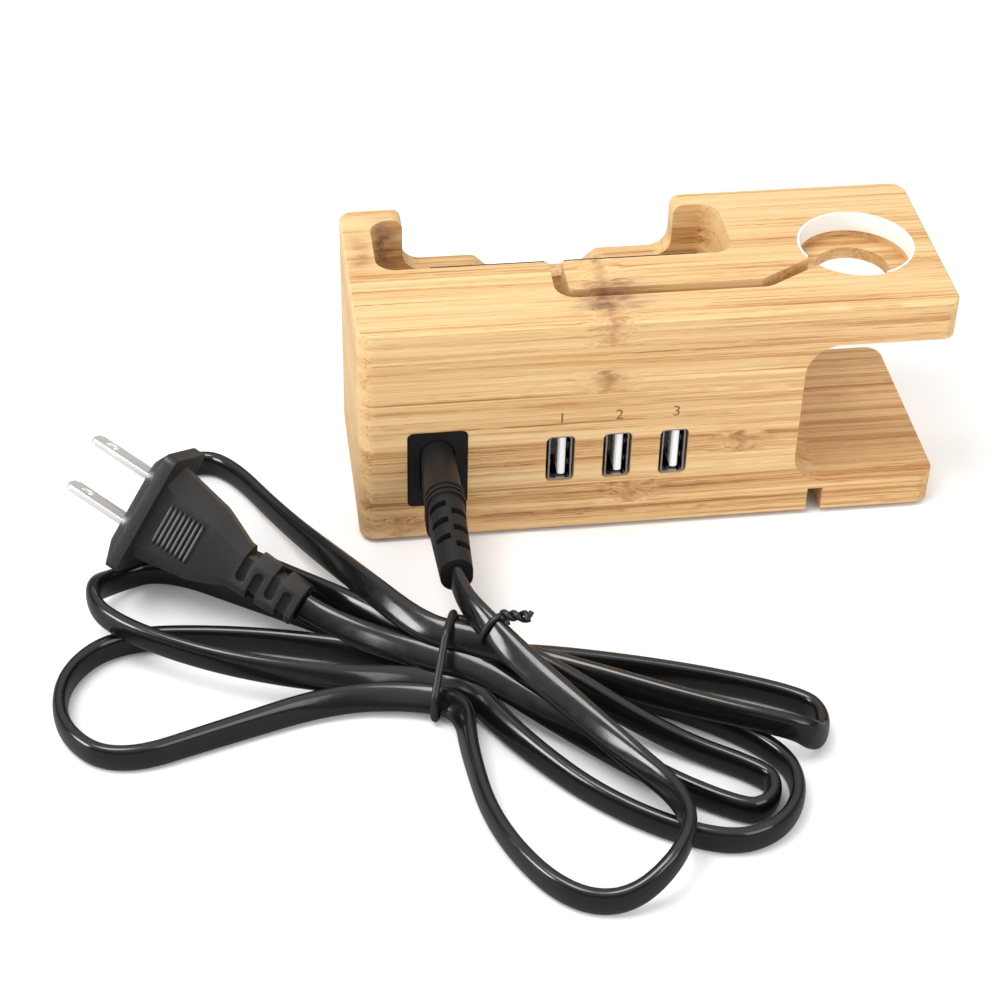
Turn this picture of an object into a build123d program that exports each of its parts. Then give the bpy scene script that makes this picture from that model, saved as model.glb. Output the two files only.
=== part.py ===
from build123d import *
import math
import os

os.makedirs("parts", exist_ok=True)

# Bamboo block: X runs along its length to the watch arm, -Y is the port face
body_length = 145.0
body_depth = 55.8
body_height = 61.0
corner_radius = 4.0
edge_ease = 0.5
overrun = 2.0

# Rubber feet
foot_stand = 0.8
foot_recess = 0.7
foot_radius = 4.5
foot_end_inset = 17.0
foot_side_inset = 9.5
foot_deck_share = 0.57
foot_clearance = 0.05

# Phone pocket and the low lip in its far wall
pocket_from_left = 7.2
pocket_length = 87.9
pocket_from_port = 27.6
pocket_far_wall = 5.6
pocket_corner = 5.0
window_from_left = 15.6
window_length = 68.7
window_drop = 14.9
window_corner = 5.0
window_rim_round = 2.8
dip_length = 22.9
dip_drop = 4.2
dip_rim_round = 3.0
cable_hole_length = 13.0
cable_hole_width = 6.5

# Watch arm, its seat and the open side of the block
cut_from_left = 108.2
arm_thickness = 10.4
deck_thickness = 9.5
cut_corner = 8.2
seat_from_right = 19.2
seat_from_port = 28.4
seat_radius = 14.5
seat_depth = 7.2
through_radius = 9.25
ring_wall = 0.5
ring_height = 5.1
ring_clearance = 0.05
ring_gap_start = 199.5
ring_gap_turn = 89.0

# Cable groove in the top and cable channel in the underside
groove_width = 3.5
groove_from_port = 13.3
groove_bend = 3.4
groove_turn_before_seat = 25.8
notch_from_left = 50.5
slot_back = 3.4
channel_width = 3.9
channel_height = 7.1
channel_from_left = 114.5
channel_bend = 6.0

# Room for the electronics and the cover under it
port_wall = 4.5
cavity_left_wall = 5.0
cavity_right_wall = 5.2
cavity_far_wall = 3.2
cavity_roof = 14.0
pocket_floor_wall = 4.0
slot_wall = 2.5
screw_post = 6.0
cover_thickness = 3.0
cover_ledge = 2.5
cover_corner = 2.0
cover_clearance = 0.2
cover_screw_radius = 1.3
cover_screw_head = 2.5
cover_screw_length = 11.0
screw_clearance = 0.1
pilot_clearance = 0.02

# Mains inlet
inlet_from_left = 19.0
inlet_up = 21.0
inlet_width = 14.8
inlet_height = 22.6
inlet_corner = 1.6
inlet_clearance = 0.1
inlet_recess = 0.3
inlet_depth = 16.0
socket_lobe = 8.6
socket_depth = 12.8
pin_spacing = 8.6
pin_radius = 1.2
pin_reach = 10.0
pin_tail = 3.0

# USB sockets
port_first_from_left = 49.1
port_spacing = 14.05
port_count = 3
port_up = 21.7
port_cut_width = 7.1
port_cut_height = 13.8
port_cut_corner = 1.6
usb_width = 5.7
usb_height = 13.1
usb_depth = 14.0
usb_wall = 0.35
usb_corner = 0.9
usb_recess = 0.5
leaf_width = 1.5
leaf_length = 5.2
leaf_gap = 0.3
leaf_reach = 0.5
leaf_spacing = 5.2
leaf_from_mouth = 2.0
tongue_thickness = 1.9
tongue_height = 11.1
tongue_length = 8.8
tongue_offset = 0.55
tongue_clearance = 0.04
contact_width = 1.0
contact_thickness = 0.12
contact_length = 6.5
contact_spacing = 2.3
contact_count = 4
contact_lead = 0.8

# Circuit board and what stands on it
board_from_left = 29.0
board_from_port = 6.0
board_length = 67.0
board_width = 25.0
board_thickness = 1.6
board_inset = 3.5
board_far_gap = 1.45
post_radius = 2.9
board_screw_radius = 1.1
board_screw_head = 2.1
board_screw_head_height = 1.3
board_screw_length = 7.0
fuse_radius = 3.2
fuse_height = 8.0
bulk_radius = 4.0
bulk_height = 13.5
output_radius = 4.0
output_height = 11.0
capacitor_ease = 0.5
core_length = 20.0
core_width = 13.0
core_height = 13.6
core_wall = 2.9
core_top_gap = 2.25
winding_gap = 0.4
chip_length = 5.0
chip_width = 4.0
chip_height = 1.6
rectifier_length = 6.6
rectifier_width = 4.6
rectifier_height = 2.4
wire_radius = 0.8
wire_back = 4.0
wire_rise = 4.5
wire_step = 7.0
wire_landing_inset = 3.4
wire_landing_spacing = 3.2
wire_bend = 2.0

# Felt strips on the near wall of the pocket
pad_thickness = 0.8
pad_floor_gap = 5.8
pad_left_start = 20.2
pad_right_end = 85.8
pad_notch_gap = 0.6
pad_drop = 0.2

# Detachable lead: connector
nose_clearance = 0.25
nose_length = 11.5
nose_bore_clearance = 0.05
sleeve_wall = 0.5
sleeve_length = 10.4
sleeve_fit = 0.08
connector_length = 39.5
grip_length = 17.0
grip_width = 8.8
grip_height = 15.0
collar_width = 7.6
collar_height = 9.4
ridge_count = 3
ridge_spacing = 1.7
ridge_width = 0.8
ridge_rise = 0.35
ridge_start = 14.2
relief_slot = 1.8
relief_spacing = 5.2
relief_start = 20.5
relief_count = 6
relief_spine = 0.5
relief_core = 2.6

# Detachable lead: cord and hank
cord_diameter = 4.6
cord_floor_gap = 0.05
level_step = 5.3

# Detachable lead: wall plug
plug_x = -120.2
plug_y = -39.4
plug_z = 23.4
plug_yaw = 144.7
plug_pitch = 18.5
plug_roll = -57.0
flange_length = 30.8
flange_height = 20.0
flange_thickness = 3.0
flange_corner = 2.0
flange_bevel = 2.6
flange_face_length = 23.0
flange_face_height = 12.5
plug_body_length = 13.5
plug_body_width = 25.0
plug_body_height = 13.6
plug_shoulder_width = 20.0
plug_shoulder_height = 12.8
plug_step_length = 2.4
plug_step_width = 18.0
plug_step_height = 11.2
neck_length = 6.6
neck_width = 12.0
neck_height = 8.8
plug_relief_length = 17.5
plug_relief_width = 10.6
plug_relief_height = 8.2
plug_seam_height = 2.4
plug_slope_share = 0.75
plug_slot = 2.6
plug_slot_spacing = 4.0
plug_slot_first = 2.6
plug_slot_count = 4
plug_slot_core = 2.4
plug_slot_core_side = 3.5
plug_slot_spine = 2.2
grip_rib_count = 8
grip_rib_spacing = 1.25
grip_rib_start = 3.2
grip_rib_width = 0.6
grip_rib_rise = 0.45
grip_rib_length = 10.5
blade_spacing = 12.7
blade_width = 6.35
blade_thickness = 1.5
blade_length = 17.2
blade_root = 6.0
blade_hole_radius = 1.6
blade_hole_from_tip = 4.6
blade_tip_chamfer = 1.2

# Detachable lead: twist tie round the hank
tie_radius = 0.9
tie_gap = 0.4
tie_columns = 3
tie_levels = 2
tie_bend = 2.2
tail_radius = 1.1
tail_length = 9.0
splay_radius = 0.7
splay_length = 4.5
splay_turn = 30.0

# Detachable lead: the waist of the hank and the way of the cord over it
waist_x = -57.5
waist_y = -82.5
waist_heading = -20.0
waist_half = 6.0
waist_spacing = 5.4
waist_lift = 2 * tie_radius + tie_gap
straight_reach = 6.0
straight_drop = 0.4
over_x = -47.5
over_y = -86.0
over_z = 20.3
over_heading = -62.0
strand_pull = 0.4
fall_length = 40.0
strand_points = 2
turn_points = 4
radius_share = 0.45
plug_straight = 9.0
plug_strand_port = (0.0, 1)
lead_in_count = 3
lead_out_count = 3

# Detachable lead: the lobes in the order in which the cord passes. Each has its side of
# the waist, heading, reach and width, then for the strand out and the strand back the
# column and level at the waist, the level at the round end, the bow and the length over
# which it keeps its level, and last the points of the round end at the level of the way out
lobes = [
    (1, -62.3, 77.4, 34.1, (None, 0, 1, 0.5, 0), (-1.5, 0, 0, -6.4, 0), 2),
    (-1, 179.0, 87.4, 42.0, (-1.5, 0, 0, -5.0, 0), (0.5, 0, 0, -2.0, 0), 0),
    (1, -35.6, 85.3, 33.0, (0.5, 0, 0, 5.0, 0), (-0.5, 0, 0, -6.5, 0), 0),
    (-1, 152.1, 88.5, 24.0, (-0.5, 0, 1, 6.0, 0), (1.5, 0, 0, 1.5, 0), 1),
    (1, -17.0, 85.8, 17.0, (1.5, 0, 0, 4.0, 0), (1.0, 1, 1, 0.0, 0), 3),
    (-1, 125.5, 104.0, 24.0, (1.0, 1, 0, -1.0, 22), (0.5, 2, 0, 0.0, 27), 0),
    (1, -34.5, 80.0, 13.0, (0.5, 2, 0, -1.0, 12), (0.0, 1, 0, -2.0, 2), 0),
]

# Places worked out from the sizes above
left_end = -body_length / 2
port_face = -body_depth / 2
far_face = body_depth / 2
wood_base = foot_stand
wood_top = foot_stand + body_height
right_end = body_length / 2
port_z = wood_base + port_up
board_top = port_z - usb_height / 2
board_bottom = board_top - board_thickness
low_ceiling = board_top + core_height + core_top_gap
pocket_x = left_end + pocket_from_left + pocket_length / 2
pocket_near = port_face + pocket_from_port
pocket_far = far_face - pocket_far_wall
pocket_width = pocket_far - pocket_near
pocket_y = (pocket_near + pocket_far) / 2
pocket_floor = low_ceiling + pocket_floor_wall
pocket_depth = wood_top - pocket_floor
window_x = left_end + window_from_left + window_length / 2
lip_top = wood_top - window_drop
seat_x = right_end - seat_from_right
seat_y = port_face + seat_from_port
cut_x = left_end + cut_from_left
arm_under = wood_top - arm_thickness
deck_top = wood_base + deck_thickness
notch_x = left_end + notch_from_left
groove_y = port_face + groove_from_port
groove_turn_x = seat_x - groove_turn_before_seat
channel_x = left_end + channel_from_left
inlet_x = left_end + inlet_from_left
inlet_z = wood_base + inlet_up
cord_radius = cord_diameter / 2
floor_level = cord_radius + cord_floor_gap

# Electronics room: a low wide part under the pocket and a tall narrow part beside it
cavity_left = left_end + cavity_left_wall
cavity_right = cut_x - cavity_right_wall
cavity_near = port_face + port_wall
cavity_far = port_face + board_from_port + board_width + board_far_gap
hole_y = cavity_far + cavity_far_wall + cable_hole_width / 2
tall_far = pocket_near - slot_back - slot_wall
tall_ceiling = wood_top - cavity_roof
cavity_length = cavity_right - cavity_left
cavity_width = cavity_far - cavity_near
cavity_x = (cavity_left + cavity_right) / 2
cavity_y = (cavity_near + cavity_far) / 2
cover_top = wood_base + cover_thickness
post_span_x = cavity_length - screw_post
post_span_y = cavity_width - screw_post
cover_right = cavity_right + cover_ledge
foot_columns = [
    left_end + foot_end_inset,
    cover_right + foot_deck_share * (right_end - cover_right),
]
foot_places = [
    (column, end * (body_depth / 2 - foot_side_inset)) for column in foot_columns for end in (-1, 1)
]


def slot_shape(width, height):
    """A stadium standing on its end, for the sections of the plugs."""
    SlotOverall(height, width, rotation=90)


# Block: rounded box, cut by every opening that the cutter makes in it
with BuildPart() as bamboo_body:
    with BuildSketch(Plane.XY.offset(wood_base)):
        RectangleRounded(body_length, body_depth, corner_radius)
    extrude(amount=body_height)
    rims = bamboo_body.faces().filter_by(Axis.Z).edges()
    chamfer(rims, length=edge_ease)
    # open side below the watch arm
    with BuildSketch(Plane.XZ.offset(far_face + overrun)) as side_cut:
        with BuildLine():
            Polyline(
                (right_end + overrun, deck_top),
                (cut_x, deck_top),
                (cut_x, arm_under),
                (right_end + overrun, arm_under),
                close=True,
            )
        make_face()
        inner = side_cut.vertices().sort_by(Axis.X)[:2]
        fillet(inner, radius=cut_corner)
    extrude(amount=-(body_depth + 2 * overrun), mode=Mode.SUBTRACT)
    # phone pocket
    with BuildSketch(Plane.XY.offset(wood_top)):
        with Locations((pocket_x, pocket_y)):
            RectangleRounded(pocket_length, pocket_width, pocket_corner)
    extrude(amount=-pocket_depth, mode=Mode.SUBTRACT)
    # window over the lip, with the dip in its middle
    with BuildSketch(Plane.XZ.offset(-far_face - overrun)):
        with BuildLine():
            half = window_length / 2
            flat = dip_length / 2 + dip_drop
            Polyline(
                (window_x - half - window_rim_round, wood_top),
                (window_x - half - window_rim_round, wood_top + overrun),
                (window_x + half + window_rim_round, wood_top + overrun),
                (window_x + half + window_rim_round, wood_top),
            )
            RadiusArc(
                (window_x + half + window_rim_round, wood_top),
                (window_x + half, wood_top - window_rim_round),
                -window_rim_round,
            )
            Line(
                (window_x + half, wood_top - window_rim_round),
                (window_x + half, lip_top + window_corner),
            )
            RadiusArc(
                (window_x + half, lip_top + window_corner),
                (window_x + half - window_corner, lip_top),
                window_corner,
            )
            FilletPolyline(
                (window_x + half - window_corner, lip_top),
                (window_x + flat, lip_top),
                (window_x + dip_length / 2, lip_top - dip_drop),
                (window_x - dip_length / 2, lip_top - dip_drop),
                (window_x - flat, lip_top),
                (window_x - half + window_corner, lip_top),
                radius=dip_rim_round,
            )
            RadiusArc(
                (window_x - half + window_corner, lip_top),
                (window_x - half, lip_top + window_corner),
                window_corner,
            )
            Line(
                (window_x - half, lip_top + window_corner),
                (window_x - half, wood_top - window_rim_round),
            )
            RadiusArc(
                (window_x - half, wood_top - window_rim_round),
                (window_x - half - window_rim_round, wood_top),
                -window_rim_round,
            )
        make_face()
    extrude(amount=overrun + pocket_far_wall + pocket_width / 3, mode=Mode.SUBTRACT)
    # cable groove from the pocket to the seat, one cutter wide
    with BuildSketch(Plane.XY.offset(wood_top)):
        with BuildLine() as groove_line:
            FilletPolyline(
                (notch_x, pocket_near + overrun),
                (notch_x, groove_y),
                (groove_turn_x, groove_y),
                (seat_x, seat_y),
                radius=groove_bend,
            )
        trace(line_width=groove_width)
    extrude(amount=-seat_depth, mode=Mode.SUBTRACT)
    # the groove drops down the near wall of the pocket
    with BuildSketch(Plane.XY.offset(wood_top)):
        with Locations((notch_x, pocket_near - slot_back)):
            Rectangle(groove_width, slot_back + overrun, align=(Align.CENTER, Align.MIN))
    extrude(amount=-pocket_depth, mode=Mode.SUBTRACT)
    # seat of the watch charger and the hole under it
    with BuildSketch(Plane.XY.offset(wood_top)):
        with Locations((seat_x, seat_y)):
            Circle(seat_radius)
    extrude(amount=-seat_depth, mode=Mode.SUBTRACT)
    with BuildSketch(Plane.XY.offset(wood_top)):
        with Locations((seat_x, seat_y)):
            Circle(through_radius)
    extrude(amount=-(arm_thickness + overrun), mode=Mode.SUBTRACT)
    # cable hole in the floor of the pocket
    with BuildSketch(Plane.XY.offset(wood_base)):
        with Locations((pocket_x, hole_y)):
            SlotOverall(cable_hole_length, cable_hole_width)
    extrude(amount=pocket_floor - wood_base + overrun, mode=Mode.SUBTRACT)
    # cable channel in the underside, out to the port face
    with BuildSketch(Plane.XY.offset(wood_base)):
        with BuildLine():
            FilletPolyline(
                (pocket_x, hole_y),
                (channel_x, hole_y),
                (channel_x, port_face - overrun),
                radius=channel_bend,
            )
        trace(line_width=channel_width)
    extrude(amount=channel_height, mode=Mode.SUBTRACT)
    # room for the electronics, with a post of wood left in each corner
    with BuildSketch(Plane.XY.offset(wood_base)):
        with Locations((cavity_x, cavity_y)):
            Rectangle(cavity_length, cavity_width)
        with Locations((cavity_x, cavity_y)):
            with GridLocations(post_span_x, post_span_y, 2, 2):
                Rectangle(screw_post, screw_post, mode=Mode.SUBTRACT)
    extrude(amount=low_ceiling - wood_base, mode=Mode.SUBTRACT)
    with BuildSketch(Plane.XY.offset(wood_base + deck_thickness)):
        with Locations((cavity_x, cavity_near)):
            Rectangle(
                cavity_length - 2 * screw_post,
                tall_far - cavity_near,
                align=(Align.CENTER, Align.MIN),
            )
    extrude(amount=tall_ceiling - wood_base - deck_thickness, mode=Mode.SUBTRACT)
    # recess of the cover and the pilot holes of its screws
    with BuildSketch(Plane.XY.offset(wood_base)):
        with Locations((cavity_x, cavity_y)):
            RectangleRounded(
                cavity_length + 2 * cover_ledge,
                cavity_width + 2 * cover_ledge,
                cover_corner,
            )
    extrude(amount=cover_thickness, mode=Mode.SUBTRACT)
    with BuildSketch(Plane.XY.offset(wood_base)):
        with Locations((cavity_x, cavity_y)):
            with GridLocations(post_span_x, post_span_y, 2, 2):
                Circle(cover_screw_radius + pilot_clearance)
    extrude(amount=cover_screw_length + pilot_clearance, mode=Mode.SUBTRACT)
    # cut-outs of the port face
    with BuildSketch(Plane.XZ.offset(-port_face)):
        with Locations((inlet_x, inlet_z)):
            RectangleRounded(inlet_width, inlet_height, inlet_corner)
    extrude(amount=-port_wall - overrun, mode=Mode.SUBTRACT)
    with BuildSketch(Plane.XZ.offset(-port_face)):
        for port in range(port_count):
            with Locations((left_end + port_first_from_left + port * port_spacing, port_z)):
                RectangleRounded(port_cut_width, port_cut_height, port_cut_corner)
    extrude(amount=-port_wall - overrun, mode=Mode.SUBTRACT)
    # shallow recesses of the feet that stick to the wood
    with BuildSketch(Plane.XY.offset(wood_base)):
        with Locations(*foot_places):
            Circle(foot_radius + foot_clearance)
    extrude(amount=foot_recess, mode=Mode.SUBTRACT)
bamboo_body.part.label = "bamboo_body"
export_step(bamboo_body.part, "parts/bamboo_body.step")

# Cover: a plate flush with the underside, with posts that carry the circuit board
board_x = left_end + board_from_left + board_length / 2
board_y = port_face + board_from_port + board_width / 2
board_hole_x = board_length - 2 * board_inset
board_hole_y = board_width - 2 * board_inset
with BuildPart() as bottom_cover:
    with BuildSketch(Plane.XY.offset(wood_base)):
        with Locations((cavity_x, cavity_y)):
            RectangleRounded(
                cavity_length + 2 * cover_ledge - 2 * cover_clearance,
                cavity_width + 2 * cover_ledge - 2 * cover_clearance,
                cover_corner,
            )
    extrude(amount=cover_thickness)
    with BuildSketch(Plane.XY.offset(cover_top)):
        with Locations((board_x, board_y)):
            with GridLocations(board_hole_x, board_hole_y, 2, 2):
                Circle(post_radius)
    extrude(amount=board_bottom - cover_top)
    with BuildSketch(Plane.XY.offset(board_bottom)):
        with Locations((board_x, board_y)):
            with GridLocations(board_hole_x, board_hole_y, 2, 2):
                Circle(board_screw_radius + pilot_clearance)
    extrude(amount=-board_screw_length, mode=Mode.SUBTRACT)
    with BuildSketch(Plane.XY.offset(wood_base)):
        with Locations((cavity_x, cavity_y)):
            with GridLocations(post_span_x, post_span_y, 2, 2):
                Circle(cover_screw_radius + screw_clearance)
    extrude(amount=cover_thickness, mode=Mode.SUBTRACT)
    with BuildSketch(Plane.XY.offset(wood_base)) as sink_mouth:
        with Locations((cavity_x, cavity_y)):
            with GridLocations(post_span_x, post_span_y, 2, 2):
                Circle(cover_screw_head + screw_clearance)
    extrude(amount=cover_screw_head - cover_screw_radius, taper=45, mode=Mode.SUBTRACT)
    with BuildSketch(Plane.XY.offset(wood_base)):
        with Locations(*foot_places):
            Circle(foot_radius + foot_clearance)
    extrude(amount=foot_recess, mode=Mode.SUBTRACT)
bottom_cover.part.label = "bottom_cover"
export_step(bottom_cover.part, "parts/bottom_cover.step")

# Countersunk screws of the cover, driven up into the wooden posts
with BuildPart() as cover_screws:
    with BuildSketch(Plane.XY.offset(wood_base)):
        with Locations((cavity_x, cavity_y)):
            with GridLocations(post_span_x, post_span_y, 2, 2):
                Circle(cover_screw_radius)
    extrude(amount=cover_screw_length)
    with BuildSketch(Plane.XY.offset(wood_base)):
        with Locations((cavity_x, cavity_y)):
            with GridLocations(post_span_x, post_span_y, 2, 2):
                Circle(cover_screw_head)
    extrude(amount=cover_screw_head - cover_screw_radius, taper=45)
cover_screws.part.label = "cover_screws"
export_step(cover_screws.part, "parts/cover_screws.step")

# Feet: one disc of rubber for each corner
for number, place in enumerate(foot_places, start=1):
    with BuildPart() as foot:
        with BuildSketch(Plane.XY):
            with Locations(place):
                Circle(foot_radius)
        extrude(amount=foot_stand + foot_recess)
    foot.part.label = f"foot_{number}"
    export_step(foot.part, f"parts/foot_{number}.step")

# Liner of the watch seat: a split ring that the charging puck clips into
ring_radius = seat_radius - ring_clearance
ring_inner = ring_radius - ring_wall
with BuildPart() as watch_ring:
    with BuildSketch(Plane.XY.offset(wood_top - ring_height)):
        with BuildLine():
            ring_start = ring_gap_start + ring_gap_turn
            ring_turn = 360 - ring_gap_turn
            outer = CenterArc((seat_x, seat_y), ring_radius, ring_start, ring_turn)
            inner = CenterArc((seat_x, seat_y), ring_inner, ring_start, ring_turn)
            Line(outer @ 0, inner @ 0)
            Line(outer @ 1, inner @ 1)
        make_face()
    extrude(amount=ring_height)
watch_ring.part.label = "watch_ring"
export_step(watch_ring.part, "parts/watch_ring.step")

# Felt strips that the back of the phone leans on, either side of the notch
pad_top = wood_top - pad_drop
pad_height = pocket_depth - pad_drop - pad_floor_gap
pad_spans = {
    "back_pad_left": (left_end + pad_left_start, notch_x - groove_width / 2 - pad_notch_gap),
    "back_pad_right": (notch_x + groove_width / 2 + pad_notch_gap, left_end + pad_right_end),
}
for pad_name, (pad_start, pad_end) in pad_spans.items():
    with BuildPart() as back_pad:
        with BuildSketch(Plane.XY.offset(pad_top - pad_height)):
            with Locations((pad_start, pocket_near)):
                Rectangle(pad_end - pad_start, pad_thickness, align=(Align.MIN, Align.MIN))
        extrude(amount=pad_height)
    back_pad.part.label = pad_name
    export_step(back_pad.part, f"parts/{pad_name}.step")

# Mains inlet: a moulded socket pushed into its cut-out, with two round pins
inlet_front = port_face + inlet_recess
socket_floor = port_face + socket_depth
inlet_back = inlet_front + inlet_depth
pin_places = [(inlet_x, inlet_z + side * pin_spacing / 2) for side in (-1, 1)]
with BuildPart() as inlet_housing:
    with BuildSketch(Plane.XZ.offset(-inlet_front)):
        with Locations((inlet_x, inlet_z)):
            RectangleRounded(
                inlet_width - 2 * inlet_clearance,
                inlet_height - 2 * inlet_clearance,
                inlet_corner - inlet_clearance,
            )
    extrude(amount=-inlet_depth)
    with BuildSketch(Plane.XZ.offset(-inlet_front)):
        with Locations((inlet_x, inlet_z)):
            slot_shape(socket_lobe, pin_spacing + socket_lobe)
    extrude(amount=-(socket_floor - inlet_front), mode=Mode.SUBTRACT)
    with BuildSketch(Plane.XZ.offset(-socket_floor)):
        with Locations(*pin_places):
            Circle(pin_radius + pilot_clearance)
    extrude(amount=-(inlet_back - socket_floor), mode=Mode.SUBTRACT)
inlet_housing.part.label = "inlet_housing"
export_step(inlet_housing.part, "parts/inlet_housing.step")

pin_tip = socket_floor - pin_reach
pin_end = inlet_back + pin_tail
with BuildPart() as inlet_pins:
    with BuildSketch(Plane.XZ.offset(-pin_tip)):
        with Locations(*pin_places):
            Circle(pin_radius)
    extrude(amount=-(pin_end - pin_tip))
    tips = inlet_pins.faces().sort_by(Axis.Y)[:2].edges()
    fillet(tips, radius=pin_radius / 2)
inlet_pins.part.label = "inlet_pins"
export_step(inlet_pins.part, "parts/inlet_pins.step")

# Circuit board on the posts of the cover
with BuildPart() as circuit_board:
    with BuildSketch(Plane.XY.offset(board_bottom)):
        with Locations((board_x, board_y)):
            Rectangle(board_length, board_width)
            with GridLocations(board_hole_x, board_hole_y, 2, 2):
                Circle(board_screw_radius + screw_clearance, mode=Mode.SUBTRACT)
    extrude(amount=board_thickness)
circuit_board.part.label = "circuit_board"
export_step(circuit_board.part, "parts/circuit_board.step")

with BuildPart() as board_screws:
    with BuildSketch(Plane.XY.offset(board_top)):
        with Locations((board_x, board_y)):
            with GridLocations(board_hole_x, board_hole_y, 2, 2):
                Circle(board_screw_head)
    extrude(amount=board_screw_head_height)
    with BuildSketch(Plane.XY.offset(board_top)):
        with Locations((board_x, board_y)):
            with GridLocations(board_hole_x, board_hole_y, 2, 2):
                Circle(board_screw_radius)
    extrude(amount=-board_screw_length)
board_screws.part.label = "board_screws"
export_step(board_screws.part, "parts/board_screws.step")

# USB sockets, each lying on its side: folded shell, moulded tongue and four contacts
usb_front = port_face + usb_recess
usb_back = usb_front + usb_depth
for port in range(port_count):
    socket_x = left_end + port_first_from_left + port * port_spacing
    with BuildPart() as usb_shell:
        with BuildSketch(Plane.XZ.offset(-usb_front)):
            with Locations((socket_x, port_z)):
                RectangleRounded(usb_width, usb_height, usb_corner)
                RectangleRounded(
                    usb_width - 2 * usb_wall,
                    usb_height - 2 * usb_wall,
                    usb_corner - usb_wall,
                    mode=Mode.SUBTRACT,
                )
        extrude(amount=-usb_depth)
        # two sprung leaves in each broad side, cut free on three sides and bent inwards
        leaf_tip = usb_front + leaf_from_mouth
        leaf_root = leaf_tip + leaf_length
        with BuildSketch(Plane.YZ.offset(socket_x - usb_width)):
            with Locations(((leaf_tip - leaf_gap + leaf_root) / 2, port_z)):
                with GridLocations(leaf_length, leaf_spacing, 1, 2):
                    Rectangle(leaf_length + leaf_gap, leaf_width + 2 * leaf_gap)
        extrude(amount=2 * usb_width, mode=Mode.SUBTRACT)
        for side in (-1, 1):
            outside = socket_x + side * usb_width / 2
            inside = outside - side * usb_wall
            for level in (-1, 1):
                leaf_base = port_z + (level * leaf_spacing - leaf_width) / 2
                with BuildSketch(Plane.XY.offset(leaf_base)):
                    with BuildLine():
                        Polyline(
                            (outside, leaf_root),
                            (inside, leaf_root),
                            (inside - side * leaf_reach, leaf_tip),
                            (outside - side * leaf_reach, leaf_tip),
                            close=True,
                        )
                    make_face()
                extrude(amount=leaf_width)
    usb_shell.part.label = f"usb_shell_{port + 1}"
    export_step(usb_shell.part, f"parts/usb_shell_{port + 1}.step")

    block_width = usb_width - 2 * usb_wall - 2 * tongue_clearance
    block_height = usb_height - 2 * usb_wall - 2 * tongue_clearance
    tongue_x = socket_x + tongue_offset
    tongue_front = usb_front + contact_lead
    block_front = tongue_front + tongue_length
    with BuildPart() as usb_tongue:
        with BuildSketch(Plane.XZ.offset(-block_front)):
            with Locations((socket_x, port_z)):
                RectangleRounded(block_width, block_height, usb_corner)
        extrude(amount=-(usb_back - block_front))
        with BuildSketch(Plane.XZ.offset(-tongue_front)):
            with Locations((tongue_x, port_z)):
                Rectangle(tongue_thickness, tongue_height)
        extrude(amount=-tongue_length)
        nose_edges = usb_tongue.faces().sort_by(Axis.Y)[0].edges().filter_by(Axis.Z)
        chamfer(nose_edges, length=contact_lead / 2)
    usb_tongue.part.label = f"usb_tongue_{port + 1}"
    export_step(usb_tongue.part, f"parts/usb_tongue_{port + 1}.step")

    contact_x = tongue_x - tongue_thickness / 2
    with BuildPart() as usb_contacts:
        with BuildSketch(Plane.YZ.offset(contact_x)):
            with Locations((block_front - contact_length / 2, port_z)):
                with GridLocations(contact_length, contact_spacing, 1, contact_count):
                    Rectangle(contact_length, contact_width)
        extrude(amount=-contact_thickness)
    usb_contacts.part.label = f"usb_contacts_{port + 1}"
    export_step(usb_contacts.part, f"parts/usb_contacts_{port + 1}.step")

# Power supply: each piece stands on the board, placed by shares of its length and width
board_left = left_end + board_from_left
board_near = port_face + board_from_port
bulk_places_share = [(0.176, 0.24), (0.176, 0.70)]
output_places_share = [(0.845, 0.24), (0.845, 0.72)]
fuse_place_share = (0.066, 0.44)
core_place_share = (0.41, 0.74)
chip_place_share = (0.65, 0.56)
rectifier_place_share = (0.65, 0.84)


def on_board(share):
    """The place on the board at a share of its length and of its width."""
    return (board_left + share[0] * board_length, board_near + share[1] * board_width)


with BuildPart() as fuse:
    with BuildSketch(Plane.XY.offset(board_top)):
        with Locations(on_board(fuse_place_share)):
            Circle(fuse_radius)
    extrude(amount=fuse_height)
    fillet(fuse.faces().sort_by(Axis.Z)[-1].edges(), radius=capacitor_ease)
fuse.part.label = "fuse"
export_step(fuse.part, "parts/fuse.step")

with BuildPart() as bulk_capacitors:
    with BuildSketch(Plane.XY.offset(board_top)):
        with Locations(*[on_board(share) for share in bulk_places_share]):
            Circle(bulk_radius)
    extrude(amount=bulk_height)
    fillet(bulk_capacitors.faces().sort_by(Axis.Z)[-2:].edges(), radius=capacitor_ease)
bulk_capacitors.part.label = "bulk_capacitors"
export_step(bulk_capacitors.part, "parts/bulk_capacitors.step")

with BuildPart() as output_capacitors:
    with BuildSketch(Plane.XY.offset(board_top)):
        with Locations(*[on_board(share) for share in output_places_share]):
            Circle(output_radius)
    extrude(amount=output_height)
    fillet(output_capacitors.faces().sort_by(Axis.Z)[-2:].edges(), radius=capacitor_ease)
output_capacitors.part.label = "output_capacitors"
export_step(output_capacitors.part, "parts/output_capacitors.step")

with BuildPart() as control_chip:
    with BuildSketch(Plane.XY.offset(board_top)):
        with Locations(on_board(chip_place_share)):
            Rectangle(chip_length, chip_width)
    extrude(amount=chip_height)
control_chip.part.label = "control_chip"
export_step(control_chip.part, "parts/control_chip.step")

with BuildPart() as rectifier:
    with BuildSketch(Plane.XY.offset(board_top)):
        with Locations(on_board(rectifier_place_share)):
            Rectangle(rectifier_length, rectifier_width)
    extrude(amount=rectifier_height)
rectifier.part.label = "rectifier"
export_step(rectifier.part, "parts/rectifier.step")

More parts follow.
